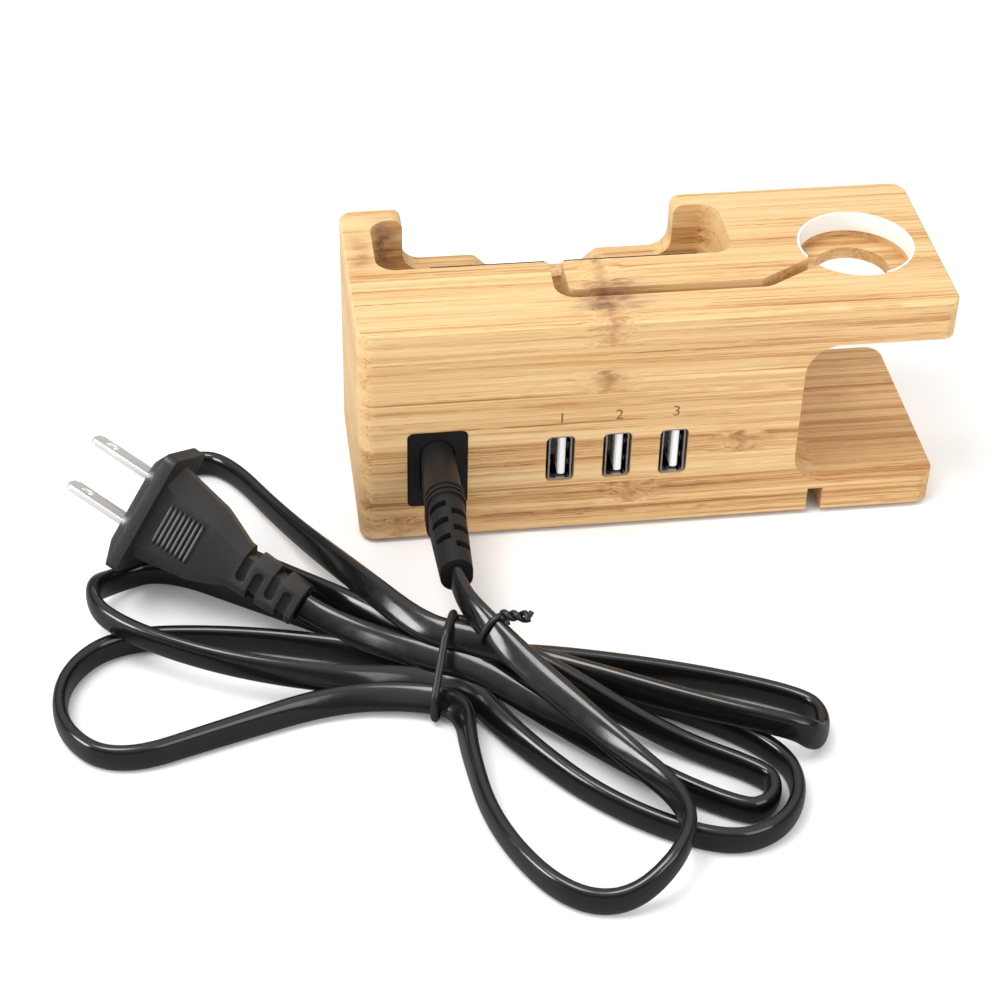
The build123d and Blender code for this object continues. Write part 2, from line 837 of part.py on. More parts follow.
# Transformer: a ferrite frame round a wound bobbin
core_x, core_y = on_board(core_place_share)
core_middle = board_top + core_height / 2
limb = core_wall
window_side = (core_length - 3 * limb) / 2
with BuildPart() as transformer_core:
    with BuildSketch(Plane.XZ.offset(-core_y + core_width / 3)):
        with Locations((core_x, core_middle)):
            Rectangle(core_length, core_height)
        with Locations(
            (core_x - (limb + window_side) / 2, core_middle),
            (core_x + (limb + window_side) / 2, core_middle),
        ):
            Rectangle(window_side, core_height - 2 * limb, mode=Mode.SUBTRACT)
    extrude(amount=-2 * core_width / 3)
transformer_core.part.label = "transformer_core"
export_step(transformer_core.part, "parts/transformer_core.step")

winding_length = limb + 2 * (window_side - winding_gap)
with BuildPart() as transformer_winding:
    with BuildSketch(Plane.XY.offset(board_top + limb + winding_gap)):
        with Locations((core_x, core_y)):
            RectangleRounded(winding_length, core_width, limb)
            Rectangle(
                limb + 2 * winding_gap,
                2 * core_width / 3 + 2 * winding_gap,
                mode=Mode.SUBTRACT,
            )
    extrude(amount=core_height - 2 * limb - 2 * winding_gap)
transformer_winding.part.label = "transformer_winding"
export_step(transformer_winding.part, "parts/transformer_winding.step")

# Two insulated wires from the tails of the inlet pins down to the board
wire_y = pin_end + wire_back
landing_low = board_left + wire_landing_inset
landing_high = landing_low + wire_landing_spacing
low_tail = inlet_z - pin_spacing / 2
high_tail = inlet_z + pin_spacing / 2
wire_routes = [
    [
        (inlet_x, pin_end, low_tail),
        (inlet_x, wire_y, low_tail),
        (inlet_x + wire_step, wire_y, low_tail + wire_rise),
        (landing_low, wire_y, low_tail + wire_rise),
        (landing_low, wire_y, board_top),
    ],
    [
        (inlet_x, pin_end, high_tail),
        (inlet_x, wire_y, high_tail),
        (landing_high, wire_y, high_tail),
        (landing_high, wire_y, board_top),
    ],
]
with BuildPart() as mains_wires:
    for route in wire_routes:
        with BuildLine() as wire_path:
            FilletPolyline(*route, radius=wire_bend)
        with BuildSketch(Plane(origin=route[0], z_dir=(0, 1, 0))):
            Circle(wire_radius)
        sweep(path=wire_path.line)
mains_wires.part.label = "mains_wires"
export_step(mains_wires.part, "parts/mains_wires.step")

# Lead connector: stadium nose and barrel, lofted down to a slotted collar
lobe = socket_lobe - 2 * nose_clearance
nose_height = pin_spacing + lobe
nose_tip = port_face + nose_length
grip_end = port_face - grip_length
collar_end = port_face - connector_length
with BuildPart() as lead_connector:
    with BuildSketch(Plane.XZ.offset(-nose_tip)):
        with Locations((inlet_x, inlet_z)):
            slot_shape(lobe, nose_height)
    extrude(amount=nose_length)
    with BuildSketch(Plane.XZ.offset(-port_face)):
        with Locations((inlet_x, inlet_z)):
            slot_shape(lobe, nose_height)
    with BuildSketch(Plane.XZ.offset(-grip_end)):
        with Locations((inlet_x, inlet_z)):
            slot_shape(grip_width, grip_height)
    with BuildSketch(Plane.XZ.offset(-collar_end)):
        with Locations((inlet_x, inlet_z)):
            slot_shape(collar_width, collar_height)
    loft(ruled=True)
    # raised rings before the slotted part
    for ring in range(ridge_count):
        ridge_y = port_face - ridge_start - ring * ridge_spacing
        with BuildSketch(Plane.XZ.offset(-ridge_y)):
            with Locations((inlet_x, inlet_z)):
                slot_shape(grip_width + 2 * ridge_rise, grip_height + 3 * ridge_rise)
        extrude(amount=ridge_width)
    # slots from the left and the right in turn, over and under the core
    for slot in range(relief_count):
        slot_y = port_face - relief_start - slot * relief_spacing / 2
        side = 1 if slot % 2 else -1
        reach = grip_width
        for level in (-1, 1):
            with BuildSketch(Plane.XZ.offset(-slot_y)):
                with Locations(
                    (
                        inlet_x + side * (relief_spine + reach / 2),
                        inlet_z + level * (relief_core + reach / 2),
                    )
                ):
                    Rectangle(reach, reach)
            extrude(amount=relief_slot, mode=Mode.SUBTRACT)
    # bores of the contact sleeves
    with BuildSketch(Plane.XZ.offset(-nose_tip)):
        with Locations(*pin_places):
            Circle(pin_radius + sleeve_fit + sleeve_wall + nose_bore_clearance)
    extrude(amount=sleeve_length, mode=Mode.SUBTRACT)
lead_connector.part.label = "lead_connector"
export_step(lead_connector.part, "parts/lead_connector.step")

with BuildPart() as contact_sleeves:
    with BuildSketch(Plane.XZ.offset(-nose_tip)):
        with Locations(*pin_places):
            Circle(pin_radius + sleeve_fit + sleeve_wall)
            Circle(pin_radius + sleeve_fit, mode=Mode.SUBTRACT)
    extrude(amount=sleeve_length)
contact_sleeves.part.label = "contact_sleeves"
export_step(contact_sleeves.part, "parts/contact_sleeves.step")

# Wall plug: its own plane has X along the blades and Z out of the ribbed face
plug_turn = Rotation(0, 0, plug_yaw) * Rotation(0, -plug_pitch, 0) * Rotation(plug_roll, 0, 0)
plug_plane = Plane(Location((plug_x, plug_y, plug_z)) * plug_turn)


def plug_section(distance):
    """The plane square to the blades, a distance towards them from the flange's back."""
    return Plane(
        origin=plug_plane.from_local_coords((distance, 0, 0)),
        x_dir=plug_plane.y_dir,
        z_dir=plug_plane.x_dir,
    )


shoulder_at = -plug_body_length
step_at = shoulder_at - plug_step_length
neck_at = step_at - neck_length
plug_end = neck_at - plug_relief_length
face_at = flange_thickness + flange_bevel


def plug_outline(distance, width, height):
    """One section of the plug: two broad faces, and sides that slope out to the mould seam."""
    seam = plug_seam_height / 2
    flat = width / 2 - plug_slope_share * (height / 2 - seam)
    with BuildSketch(plug_section(distance)) as outline:
        with BuildLine():
            Polyline(
                (flat, height / 2),
                (width / 2, seam),
                (width / 2, -seam),
                (flat, -height / 2),
                (-flat, -height / 2),
                (-width / 2, -seam),
                (-width / 2, seam),
                (-flat, height / 2),
                close=True,
            )
        make_face()
    return outline.sketch


plug_outlines = [
    (0, plug_body_width, plug_body_height),
    (shoulder_at, plug_shoulder_width, plug_shoulder_height),
    (step_at, plug_step_width, plug_step_height),
    (neck_at, neck_width, neck_height),
    (plug_end, plug_relief_width, plug_relief_height),
]
with BuildPart() as plug_body:
    loft(sections=[plug_outline(*sizes) for sizes in plug_outlines], ruled=True)
    with BuildPart() as flange:
        with BuildSketch(plug_section(0)):
            RectangleRounded(flange_length, flange_height, flange_corner)
        extrude(amount=flange_thickness)
        with BuildSketch(plug_section(flange_thickness)):
            RectangleRounded(flange_length, flange_height, flange_corner)
        with BuildSketch(plug_section(face_at)):
            RectangleRounded(flange_face_length, flange_face_height, flange_corner)
        loft(ruled=True)
    # ribs of the grip
    for rib in range(grip_rib_count):
        rib_at = -grip_rib_start - rib * grip_rib_spacing
        with BuildSketch(plug_section(rib_at)):
            with Locations((0, plug_shoulder_height / 2 + grip_rib_rise / 2)):
                Rectangle(grip_rib_length, grip_rib_rise + plug_body_height - plug_shoulder_height)
        extrude(amount=-grip_rib_width)
    # slots of the strain relief, from one side and the other in turn, down to the cord
    for slot in range(plug_slot_count):
        slot_at = neck_at - plug_slot_first - slot * plug_slot_spacing
        side = 1 if slot % 2 else -1
        slot_plane = Plane(
            origin=plug_plane.from_local_coords((slot_at, 0, 0)),
            x_dir=plug_plane.y_dir,
            z_dir=plug_plane.z_dir,
        )
        far_side = side * neck_width
        for level in (-1, 1):
            with BuildSketch(slot_plane.offset(level * plug_slot_core)):
                with Locations(((far_side - side * plug_slot_spine) / 2, 0)):
                    SlotOverall(neck_width + plug_slot_spine, plug_slot)
            extrude(amount=level * neck_height, mode=Mode.SUBTRACT)
        with BuildSketch(slot_plane):
            with Locations((side * (plug_slot_core_side + neck_width / 2), 0)):
                Rectangle(neck_width, plug_slot)
        extrude(amount=neck_height, both=True, mode=Mode.SUBTRACT)
    # slots that hold the roots of the blades
    with BuildSketch(plug_section(face_at)):
        with Locations((blade_spacing / 2, 0), (-blade_spacing / 2, 0)):
            Rectangle(blade_thickness + 2 * pilot_clearance, blade_width + 2 * pilot_clearance)
    extrude(amount=-blade_root, mode=Mode.SUBTRACT)
plug_body.part.label = "plug_body"
export_step(plug_body.part, "parts/plug_body.step")

# Blades of the wall plug, with their round holes
blade_tip = face_at + blade_length
hole_at = blade_tip - blade_hole_from_tip
with BuildPart() as plug_blades:
    with BuildSketch(plug_section(face_at - blade_root)):
        with Locations((blade_spacing / 2, 0), (-blade_spacing / 2, 0)):
            Rectangle(blade_thickness, blade_width)
    extrude(amount=blade_root + blade_length)
    tip_faces = plug_blades.faces().filter_by(
        lambda face: abs(abs(face.normal_at().dot(plug_plane.x_dir)) - 1) < 1e-6
        and plug_plane.to_local_coords(face.center()).X > blade_length / 2
    )
    thin_edges = tip_faces.edges().filter_by(
        lambda edge: abs(abs((edge % 0).dot(plug_plane.y_dir)) - 1) < 1e-6
    )
    chamfer(thin_edges, length=blade_tip_chamfer)
    side_plane = Plane(
        origin=plug_plane.from_local_coords((hole_at, 0, 0)),
        x_dir=plug_plane.x_dir,
        z_dir=plug_plane.y_dir,
    )
    with BuildSketch(side_plane):
        Circle(blade_hole_radius)
    extrude(amount=blade_spacing, both=True, mode=Mode.SUBTRACT)
plug_blades.part.label = "plug_blades"
export_step(plug_blades.part, "parts/plug_blades.step")

# Route of the lead: it steps over the waist of the hank, goes round seven lobes in turn,
# through the waist after each, and ends in the plug
cord_start = Vector(inlet_x, collar_end, inlet_z)
straight_end = cord_start - Vector(0, straight_reach, straight_drop)
stepped_over = Vector(over_x, over_y, over_z)
waist = Vector(waist_x, waist_y, floor_level)


def level_vector(heading, distance):
    """A level vector of a length, its heading in degrees from +X to +Y."""
    turn = math.radians(heading)
    return Vector(distance * math.cos(turn), distance * math.sin(turn), 0)


def waist_port(end, column, level):
    """Where a strand leaves the waist: end +1 is the right, columns count to the far side."""
    along = level_vector(waist_heading, end * waist_half)
    across = level_vector(waist_heading + 90, column * waist_spacing)
    return waist + along + across + Vector(0, 0, waist_lift + level * level_step)


def strand(start, start_way, finish, finish_way, bow, hold):
    """Points of a strand from the waist to the round end of a lobe.

    A cubic from one place to the other, with the two headings at its ends, bowed to the
    left of its way by a sine; it keeps its height over a length and then comes down.
    """
    reach = (finish - start).length
    flat = Vector(finish.X - start.X, finish.Y - start.Y, 0)
    aside = flat.normalized().rotate(Axis.Z, 90)
    points = []
    for step in range(strand_points + 1):
        share = step / (strand_points + 1)
        settled = share * share * (3 - 2 * share)
        leaving = share * (1 - share) ** 2 * strand_pull * reach
        arriving = share * share * (1 - share) * strand_pull * reach
        place = start * (1 - settled) + finish * settled
        place = place + start_way * leaving - finish_way * arriving
        place = place + aside * (bow * math.sin(math.pi * share))
        fallen = max(0, min((share * reach - hold) / fall_length, 1))
        fallen = fallen * fallen * (3 - 2 * fallen)
        height = start.Z + (finish.Z - start.Z) * fallen
        points.append(Vector(place.X, place.Y, height))
    return points


def lobe_points(end, heading, reach, width, out, back, high_points):
    """Points of one lobe, clockwise from above: out along a strand, round, and back.

    out and back hold the column and level at the waist, the level at the round end, the
    bow and the length over which the level is kept. high_points is how many points of
    the round end lie at the level of the strand that leads out.
    """
    radius = width / 2
    middle = Vector(waist_x, waist_y, floor_level) + level_vector(heading, reach - radius)
    strands = []
    for side, (column, level, landing, bow, hold) in ((90, out), (-90, back)):
        finish = middle + level_vector(heading + side, radius)
        finish = finish + Vector(0, 0, landing * level_step)
        if column is None:
            first = stepped_over
            way = level_vector(over_heading, 1)
        else:
            first = waist_port(end, column, level)
            way = level_vector(waist_heading, end)
        strands.append(strand(first, way, finish, level_vector(heading, 1), bow, hold))
    outer_radius = radius / math.cos(math.pi / 2 / turn_points)
    turn = []
    for number in range(turn_points):
        angle = heading + 90 - 180 * (number + 1 / 2) / turn_points
        landing = out[2] if number < high_points else back[2]
        turn.append(
            middle + level_vector(angle, outer_radius) + Vector(0, 0, landing * level_step)
        )
    return strands[0] + turn + strands[1][::-1]


plug_mouth = plug_plane.from_local_coords((plug_end, 0, 0))
plug_lead_in = plug_plane.from_local_coords((plug_end - plug_straight, 0, 0))
cord_points = [cord_start, straight_end]
for lobe in lobes:
    cord_points.extend(lobe_points(*lobe))
cord_points.append(waist_port(-1, *plug_strand_port))
cord_points.append(plug_lead_in)
cord_points.append(plug_mouth)
cord_radii = []
for before, corner, after in zip(cord_points, cord_points[1:], cord_points[2:]):
    way_in = corner - before
    way_out = after - corner
    half_turn = math.radians(way_in.get_angle(way_out)) / 2
    shorter = min(way_in.length, way_out.length)
    cord_radii.append(radius_share * shorter / math.tan(half_turn))
print("cord bends mm", sorted(round(radius, 1) for radius in cord_radii)[:12])


def halfway(number):
    """The middle of the run that follows a point of the route, where the cord is straight."""
    return (cord_points[number] + cord_points[number + 1]) * (1 / 2)


# Three tubes that meet face to face: from the connector, the hank, and on to the plug
hank_first = lead_in_count
hank_last = len(cord_points) - lead_out_count
hank_start = halfway(hank_first - 1)
hank_end = halfway(hank_last)
stretches = {
    "lead_cord": (
        [*cord_points[:hank_first], hank_start],
        cord_radii[: hank_first - 1],
    ),
    "lead_hank": (
        [hank_start, *cord_points[hank_first : hank_last + 1], hank_end],
        cord_radii[hank_first - 1 : hank_last],
    ),
    "lead_tail": (
        [hank_end, *cord_points[hank_last + 1 :]],
        cord_radii[hank_last:],
    ),
}
cord_length = 0
samples = []
for stretch_name, (stretch_points, stretch_radii) in stretches.items():
    with BuildPart() as stretch:
        with BuildLine() as stretch_line:
            FilletPolyline(*stretch_points, radius=stretch_radii)
        first_way = stretch_points[1] - stretch_points[0]
        with BuildSketch(Plane(origin=stretch_points[0], z_dir=first_way)):
            Circle(cord_radius)
        sweep(path=stretch_line.line)
    stretch.part.label = stretch_name
    export_step(stretch.part, f"parts/{stretch_name}.step")
    stretch_wire = stretch_line.wire()
    stretch_volume = math.pi * cord_radius**2 * stretch_wire.length
    print(stretch_name, "volume over section times length", stretch.part.volume / stretch_volume)
    cord_length += stretch_wire.length
    count = int(stretch_wire.length)
    samples.extend(stretch_wire.position_at(number / count) for number in range(count))

# How near the cord comes to itself, measured on points one millimetre apart along it
skipped = int(3 * cord_diameter)
nearest = min(
    (samples[one] - samples[two]).length
    for one in range(len(samples))
    for two in range(one + skipped, len(samples))
)
print("cord length mm", round(cord_length, 1), "gap to itself mm", round(nearest - cord_diameter, 2))

# Twist tie: a loop round the waist of the hank and a twisted tail with two splayed ends
tie_plane = Plane(
    origin=(waist_x, waist_y, floor_level + waist_lift),
    x_dir=level_vector(waist_heading + 90, 1),
    z_dir=level_vector(waist_heading, 1),
)
tie_reach = cord_radius + tie_gap + tie_radius
tie_side = tie_columns / 2 * waist_spacing + tie_reach
tie_crown = tie_levels * level_step + tie_reach
crown_middle = waist_spacing / 2
with BuildPart() as twist_tie:
    with BuildLine(tie_plane) as tie_path:
        tie_line = FilletPolyline(
            (tie_side, -tie_reach),
            (tie_side, tie_reach),
            (crown_middle + tie_reach, tie_crown),
            (crown_middle - tie_reach, tie_crown),
            (-tie_side, tie_reach),
            (-tie_side, -tie_reach),
            radius=tie_bend,
            close=True,
        )
    with BuildSketch(Plane(origin=tie_line @ 0, z_dir=tie_line % 0)):
        Circle(tie_radius)
    sweep(path=tie_path.line)
    tail_up = (tie_reach + tie_crown) / 2 + tie_radius
    tail_out = (tie_side + crown_middle + tie_reach) / 2
    tail_start = tie_plane.from_local_coords((tail_out, tail_up, 0))
    tail_plane = Plane(origin=tail_start, z_dir=tie_plane.z_dir)
    with BuildSketch(tail_plane):
        Circle(tail_radius)
    extrude(amount=tail_length)
    tail_end = tail_plane.origin + tail_plane.z_dir * tail_length
    for turned in (-1, 1):
        splay = level_vector(waist_heading + turned * splay_turn, 1)
        with BuildSketch(Plane(origin=tail_end - splay * tie_radius, z_dir=splay)):
            Circle(splay_radius)
        extrude(amount=splay_length)
twist_tie.part.label = "twist_tie"
export_step(twist_tie.part, "parts/twist_tie.step")
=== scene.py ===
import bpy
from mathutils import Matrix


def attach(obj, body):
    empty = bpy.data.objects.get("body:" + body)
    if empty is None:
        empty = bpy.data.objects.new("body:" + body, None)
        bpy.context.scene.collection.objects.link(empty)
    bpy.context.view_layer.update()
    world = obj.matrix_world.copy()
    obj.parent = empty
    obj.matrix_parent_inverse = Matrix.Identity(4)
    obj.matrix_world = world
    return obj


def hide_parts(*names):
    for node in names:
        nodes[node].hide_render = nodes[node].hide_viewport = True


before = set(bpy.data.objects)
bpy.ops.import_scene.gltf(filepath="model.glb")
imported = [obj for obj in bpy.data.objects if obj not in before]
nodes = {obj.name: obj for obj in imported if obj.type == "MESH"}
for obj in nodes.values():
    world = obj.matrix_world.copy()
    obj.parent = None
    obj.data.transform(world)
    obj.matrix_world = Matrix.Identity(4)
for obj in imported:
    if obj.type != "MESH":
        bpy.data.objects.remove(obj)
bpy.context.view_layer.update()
import math

import bmesh
import bpy
import numpy as np
from mathutils import Euler, Matrix, Vector

MM = 0.001

# Bamboo block: nine strips of laminated cane, glued flat on flat, milled and oiled. The
# fibres run along the block, each strip is denser towards the skin of its cane, and the
# knots of the cane show as swirls and, on the top strip, as a dark stain
def span(name):
    """The low and the high corner of a solid of the frame, in millimetres."""
    corners = np.array([vertex.co for vertex in nodes[name].data.vertices]) / MM
    return corners.min(axis=0), corners.max(axis=0)


BLOCK_LOW = span("bamboo_body")[0]
PORT_FACE = float(BLOCK_LOW[1])
STRIP_BASE = float(BLOCK_LOW[2])
STRIP_THICKNESS = 6.78
STRIP_COUNT = 9
GLUE_LINE = 0.022
GLUE_SHADE = 0.5
SKIN_DENSITY = 0.7
# Each strip's tone and the place of its knot along the block, from the lowest strip up
STRIP_TONES = [-0.06, -0.045, 0.0, -0.02, 0.0, 0.025, 0.0, -0.035, 0.02]
TONE_SPAN = 1.0
NO_KNOT = 95.0
KNOT_PLACES = [-63.0, -5.8, NO_KNOT, 21.0, NO_KNOT, NO_KNOT, -12.5, NO_KNOT, -12.0]
KNOT_SPAN = 200.0
KNOT_RAGGED = 3.0
KNOT_LINE = 1.1
KNOT_SHADE = 0.35
SWIRL_REACH = 5.0
SWIRL_AT_KNOT = 6.5
SWIRL_AWAY = 0.45
STRIP_SHIFT = 90.0
# Repeats of each pattern per millimetre along the block, across it and up it
RAGGED_REPEATS = (0.1, 0.3, 0.3)
SWIRL_REPEATS = (0.16, 0.3, 0.3)
FINE_REPEATS = (0.014, 3.2, 3.2)
MIDDLE_REPEATS = (0.009, 1.15, 1.15)
BROAD_REPEATS = (0.006, 0.16, 0.3)
BUNDLE_REPEATS = (0.013, 1.05, 1.05)
HAIR_REPEATS = (0.007, 1.5, 1.5)
PATCH_REPEATS = (0.02, 0.12, 0.12)
PORE_REPEATS = (0.05, 1.3, 1.3)
BLOT_REPEATS = (0.16, 0.45, 0.45)
FIBRE_ROUGHNESS = 0.55
FINE_DETAIL = 3.0
BROAD_DETAIL = 2.0
PLAIN_DETAIL = 1.0
BLOT_DETAIL = 4.0
BUNDLE_FALL = 2.6
HAIR_FALL = 26.0
PATCH_GAIN = 5.0
PATCH_START = 2.1
PORE_FALL = 3.8
PORE_FULL = 1.35
BLOT_GAIN = 3.2
BLOT_START = 1.05
BLOT_SHARE = 0.8
# How much each pattern adds to the tone, on the sides and on the ends of the block
FINE_SHARE = 0.55
MIDDLE_SHARE = 0.40
BROAD_SHARE = 0.45
BUNDLE_SHARE = -0.17
HAIR_SHARE = -0.11
SIDE_TONE = -0.10
END_TONE = 0.67
END_PORE_SHARE = -0.36
END_STRIP_SHARE = 1.4
END_BROAD_SHARE = 0.25
END_EDGE = 3.0
CANE_DARK = (0.30, 0.12, 0.042)
CANE_LINE = (0.50, 0.262, 0.092)
CANE_BODY = (0.65, 0.41, 0.18)
CANE_PALE = (0.75, 0.53, 0.275)
CANE_STOPS = [(0.36, CANE_DARK), (0.47, CANE_LINE), (0.59, CANE_BODY), (0.74, CANE_PALE)]
CANE_ROUGHNESS = 0.42
ROUGHNESS_LEAST = 0.3
ROUGHNESS_SHARE = 0.25
KNOT_STAIN = (0.13, 0.04, 0.035)
# Stains: middle, reach along, across and up, strength and colour
STAINS = [
    (-9.6, -12.0, 61.0, 7.5, 2.4, 5.0, 0.8, KNOT_STAIN),
    (-11.2, -19.3, 61.8, 8.0, 4.2, 3.0, 1.0, KNOT_STAIN),
    (-12.0, -27.0, 60.0, 5.0, 3.0, 2.5, 0.45, CANE_DARK),
    (-68.5, 7.0, 61.0, 3.0, 8.0, 7.0, 0.8, CANE_DARK),
    (-62.0, 22.0, 55.0, 3.2, 3.0, 7.0, 1.0, KNOT_STAIN),
    (-12.5, PORT_FACE, 45.6, 4.0, 4.0, 2.2, 0.6, CANE_DARK),
    (21.0, PORT_FACE, 25.7, 6.0, 4.0, 1.6, 0.6, CANE_DARK),
    (-5.8, PORT_FACE, 11.3, 4.0, 4.0, 2.0, 0.5, CANE_DARK),
    (-63.0, PORT_FACE, 4.6, 10.0, 6.0, 2.4, 0.8, CANE_DARK),
]
RELIEF_STRENGTH = 0.3
CANE_RELIEF = 0.06


def add(tree, kind, inputs=None, **settings):
    """A shader node with its settings, its inputs linked to sockets or given values."""
    node = tree.nodes.new(kind)
    for key, value in settings.items():
        setattr(node, key, value)
    for key, value in (inputs or {}).items():
        if isinstance(value, bpy.types.NodeSocket):
            tree.links.new(value, node.inputs[key])
        else:
            node.inputs[key].default_value = value
    return node


def maths(tree, operation, one, two=0.0, three=0.0, clamp=False):
    """The result of one math node."""
    sockets = {0: one, 1: two, 2: three}
    return add(tree, "ShaderNodeMath", sockets, operation=operation, use_clamp=clamp).outputs[0]


def vectors(tree, operation, one, two):
    """The vector of one vector math node."""
    second = "Scale" if operation == "SCALE" else 1
    return add(tree, "ShaderNodeVectorMath", {0: one, second: two}, operation=operation).outputs[0]


def weighted(tree, base, *parts):
    """A base value with parts added to it, each times its share."""
    for value, share in parts:
        base = maths(tree, "MULTIPLY_ADD", value, share, base)
    return base


def ramp(tree, factor, stops, interpolation="LINEAR"):
    """The colour of a ramp through (position, (r, g, b)) stops."""
    node = add(tree, "ShaderNodeValToRGB", {"Fac": factor})
    node.color_ramp.interpolation = interpolation
    bands = node.color_ramp.elements
    while len(bands) < len(stops):
        bands.new(0.5)
    for band, (position, colour) in zip(bands, stops):
        band.position = position
        band.color = (*colour, 1)
    return node.outputs["Color"]


def mixed(tree, factor, one, two):
    """A colour part of the way from one colour to another."""
    node = add(tree, "ShaderNodeMix", {"Factor": factor}, data_type="RGBA")
    for key, value in ((6, one), (7, two)):
        if isinstance(value, bpy.types.NodeSocket):
            tree.links.new(value, node.inputs[key])
        else:
            node.inputs[key].default_value = (*value, 1)
    return node.outputs[2]


def noise(tree, place, repeats, detail=BROAD_DETAIL, roughness=0.5):
    """A noise texture over a place, repeated so many times per unit of its three axes."""
    vector = vectors(tree, "MULTIPLY", place, repeats)
    inputs = {"Vector": vector, "Scale": 1.0, "Detail": detail, "Roughness": roughness}
    return add(tree, "ShaderNodeTexNoise", inputs).outputs


def cell_distance(tree, place, repeats):
    """How far a place is from the nearest of scattered points, one to a repeat."""
    inputs = {"Vector": vectors(tree, "MULTIPLY", place, repeats), "Scale": 1.0}
    return add(tree, "ShaderNodeTexVoronoi", inputs).outputs["Distance"]


def material(name, colour, roughness, **sockets):
    """A material, its tree and its shader, whose sockets are given plain values."""
    made = bpy.data.materials.new(name)
    made.use_nodes = True
    shader = made.node_tree.nodes["Principled BSDF"]
    shader.inputs["Base Color"].default_value = (*colour, 1)
    shader.inputs["Roughness"].default_value = roughness
    for key, value in sockets.items():
        shader.inputs[key.replace("_", " ")].default_value = value
    return made, made.node_tree, shader


def millimetres(tree):
    """The place on a piece, in millimetres from the origin of the frame."""
    place = add(tree, "ShaderNodeTexCoord").outputs["Object"]
    return vectors(tree, "MULTIPLY", place, (1 / MM, 1 / MM, 1 / MM))


def emboss(tree, shader, height, depth):
    """Relief on a shader, from a height of about nought to one and its depth in mm."""
    inputs = {"Height": height, "Strength": RELIEF_STRENGTH, "Distance": depth * MM}
    tree.links.new(add(tree, "ShaderNodeBump", inputs).outputs[0], shader.inputs["Normal"])


def paint(made, *names):
    """Gives solids of the frame a material."""
    for name in names:
        nodes[name].data.materials.clear()
        nodes[name].data.materials.append(made)


def bell(tree, square):
    """A bell curve: e to the power of minus the square of a distance."""
    return maths(tree, "POWER", math.e, maths(tree, "MULTIPLY", square, -1.0))


def knot_hill(tree, from_knot, width):
    """One at the knot, falling on both sides as a bell curve of a width."""
    steps = maths(tree, "DIVIDE", from_knot, width)
    return bell(tree, maths(tree, "MULTIPLY", steps, steps))


def strip_and_depth(tree, height):
    """The number of the strip at a height, and the share of that strip below the height."""
    place = maths(tree, "DIVIDE", maths(tree, "SUBTRACT", height, STRIP_BASE), STRIP_THICKNESS)
    strip = maths(tree, "MAXIMUM", maths(tree, "FLOOR", place), 0.0)
    strip = maths(tree, "MINIMUM", strip, STRIP_COUNT - 1.0)
    return strip, maths(tree, "SUBTRACT", place, strip, clamp=True)


def per_strip(tree, strip, values, span):
    """The strip's own one of some values, which lie within a span about nought."""
    middle = maths(tree, "DIVIDE", maths(tree, "ADD", strip, 0.5), float(STRIP_COUNT))
    shares = [value / span + 0.5 for value in values]
    stops = [(number / STRIP_COUNT, (share,) * 3) for number, share in enumerate(shares)]
    return maths(tree, "MULTIPLY_ADD", ramp(tree, middle, stops, "CONSTANT"), span, -span / 2)


def distance_from_knot(tree, grid, along, strip):
    """The distance along the block from the strip's knot, made ragged by noise."""
    knot = per_strip(tree, strip, KNOT_PLACES, KNOT_SPAN)
    ragged = noise(tree, grid, RAGGED_REPEATS)["Fac"]
    ragged = maths(tree, "MULTIPLY_ADD", ragged, KNOT_RAGGED, -KNOT_RAGGED / 2)
    return maths(tree, "ADD", maths(tree, "SUBTRACT", along, knot), ragged)


def fibre_place(tree, grid, strip, from_knot):
    """The place among the fibres: swirled most at the knot, and shifted for each strip."""
    swirl = noise(tree, grid, SWIRL_REPEATS, PLAIN_DETAIL)["Color"]
    swirl = vectors(tree, "SUBTRACT", swirl, (0.5, 0.5, 0.5))
    amount = knot_hill(tree, from_knot, SWIRL_REACH)
    amount = maths(tree, "MULTIPLY_ADD", amount, SWIRL_AT_KNOT, SWIRL_AWAY)
    chance = add(tree, "ShaderNodeTexWhiteNoise", {"W": strip}, noise_dimensions="1D")
    own = vectors(tree, "SCALE", chance.outputs["Color"], STRIP_SHIFT)
    bent = vectors(tree, "ADD", grid, vectors(tree, "SCALE", swirl, amount))
    return vectors(tree, "ADD", bent, own)


def drawn_noise(tree, fibres, repeats, detail):
    """Noise drawn out along the fibres."""
    return noise(tree, fibres, repeats, detail, FIBRE_ROUGHNESS)["Fac"]


def vessel_bundles(tree, fibres, dense):
    """Bundles of vessels: one less the distance to long cells, stronger where it is dense."""
    near = maths(tree, "MULTIPLY", cell_distance(tree, fibres, BUNDLE_REPEATS), BUNDLE_FALL)
    return maths(tree, "MULTIPLY", maths(tree, "SUBTRACT", 1.0, near, clamp=True), dense)


def hair_lines(tree, fibres):
    """Hair lines: where drawn noise crosses a half, kept in the patches of a broader noise."""
    crossing = drawn_noise(tree, fibres, HAIR_REPEATS, PLAIN_DETAIL)
    crossing = maths(tree, "ABSOLUTE", maths(tree, "SUBTRACT", crossing, 0.5))
    line = maths(tree, "MULTIPLY_ADD", crossing, -HAIR_FALL, 1.0, clamp=True)
    patch = drawn_noise(tree, fibres, PATCH_REPEATS, PLAIN_DETAIL)
    patch = maths(tree, "MULTIPLY_ADD", patch, PATCH_GAIN, -PATCH_START, clamp=True)
    return maths(tree, "MULTIPLY", line, patch)


def end_share(tree):
    """One on the ends of the block and nought on its sides, from the normal along it."""
    normal = add(tree, "ShaderNodeTexCoord").outputs["Normal"]
    facing = add(tree, "ShaderNodeSeparateXYZ", {0: normal}).outputs["X"]
    return maths(tree, "POWER", maths(tree, "ABSOLUTE", facing), END_EDGE)


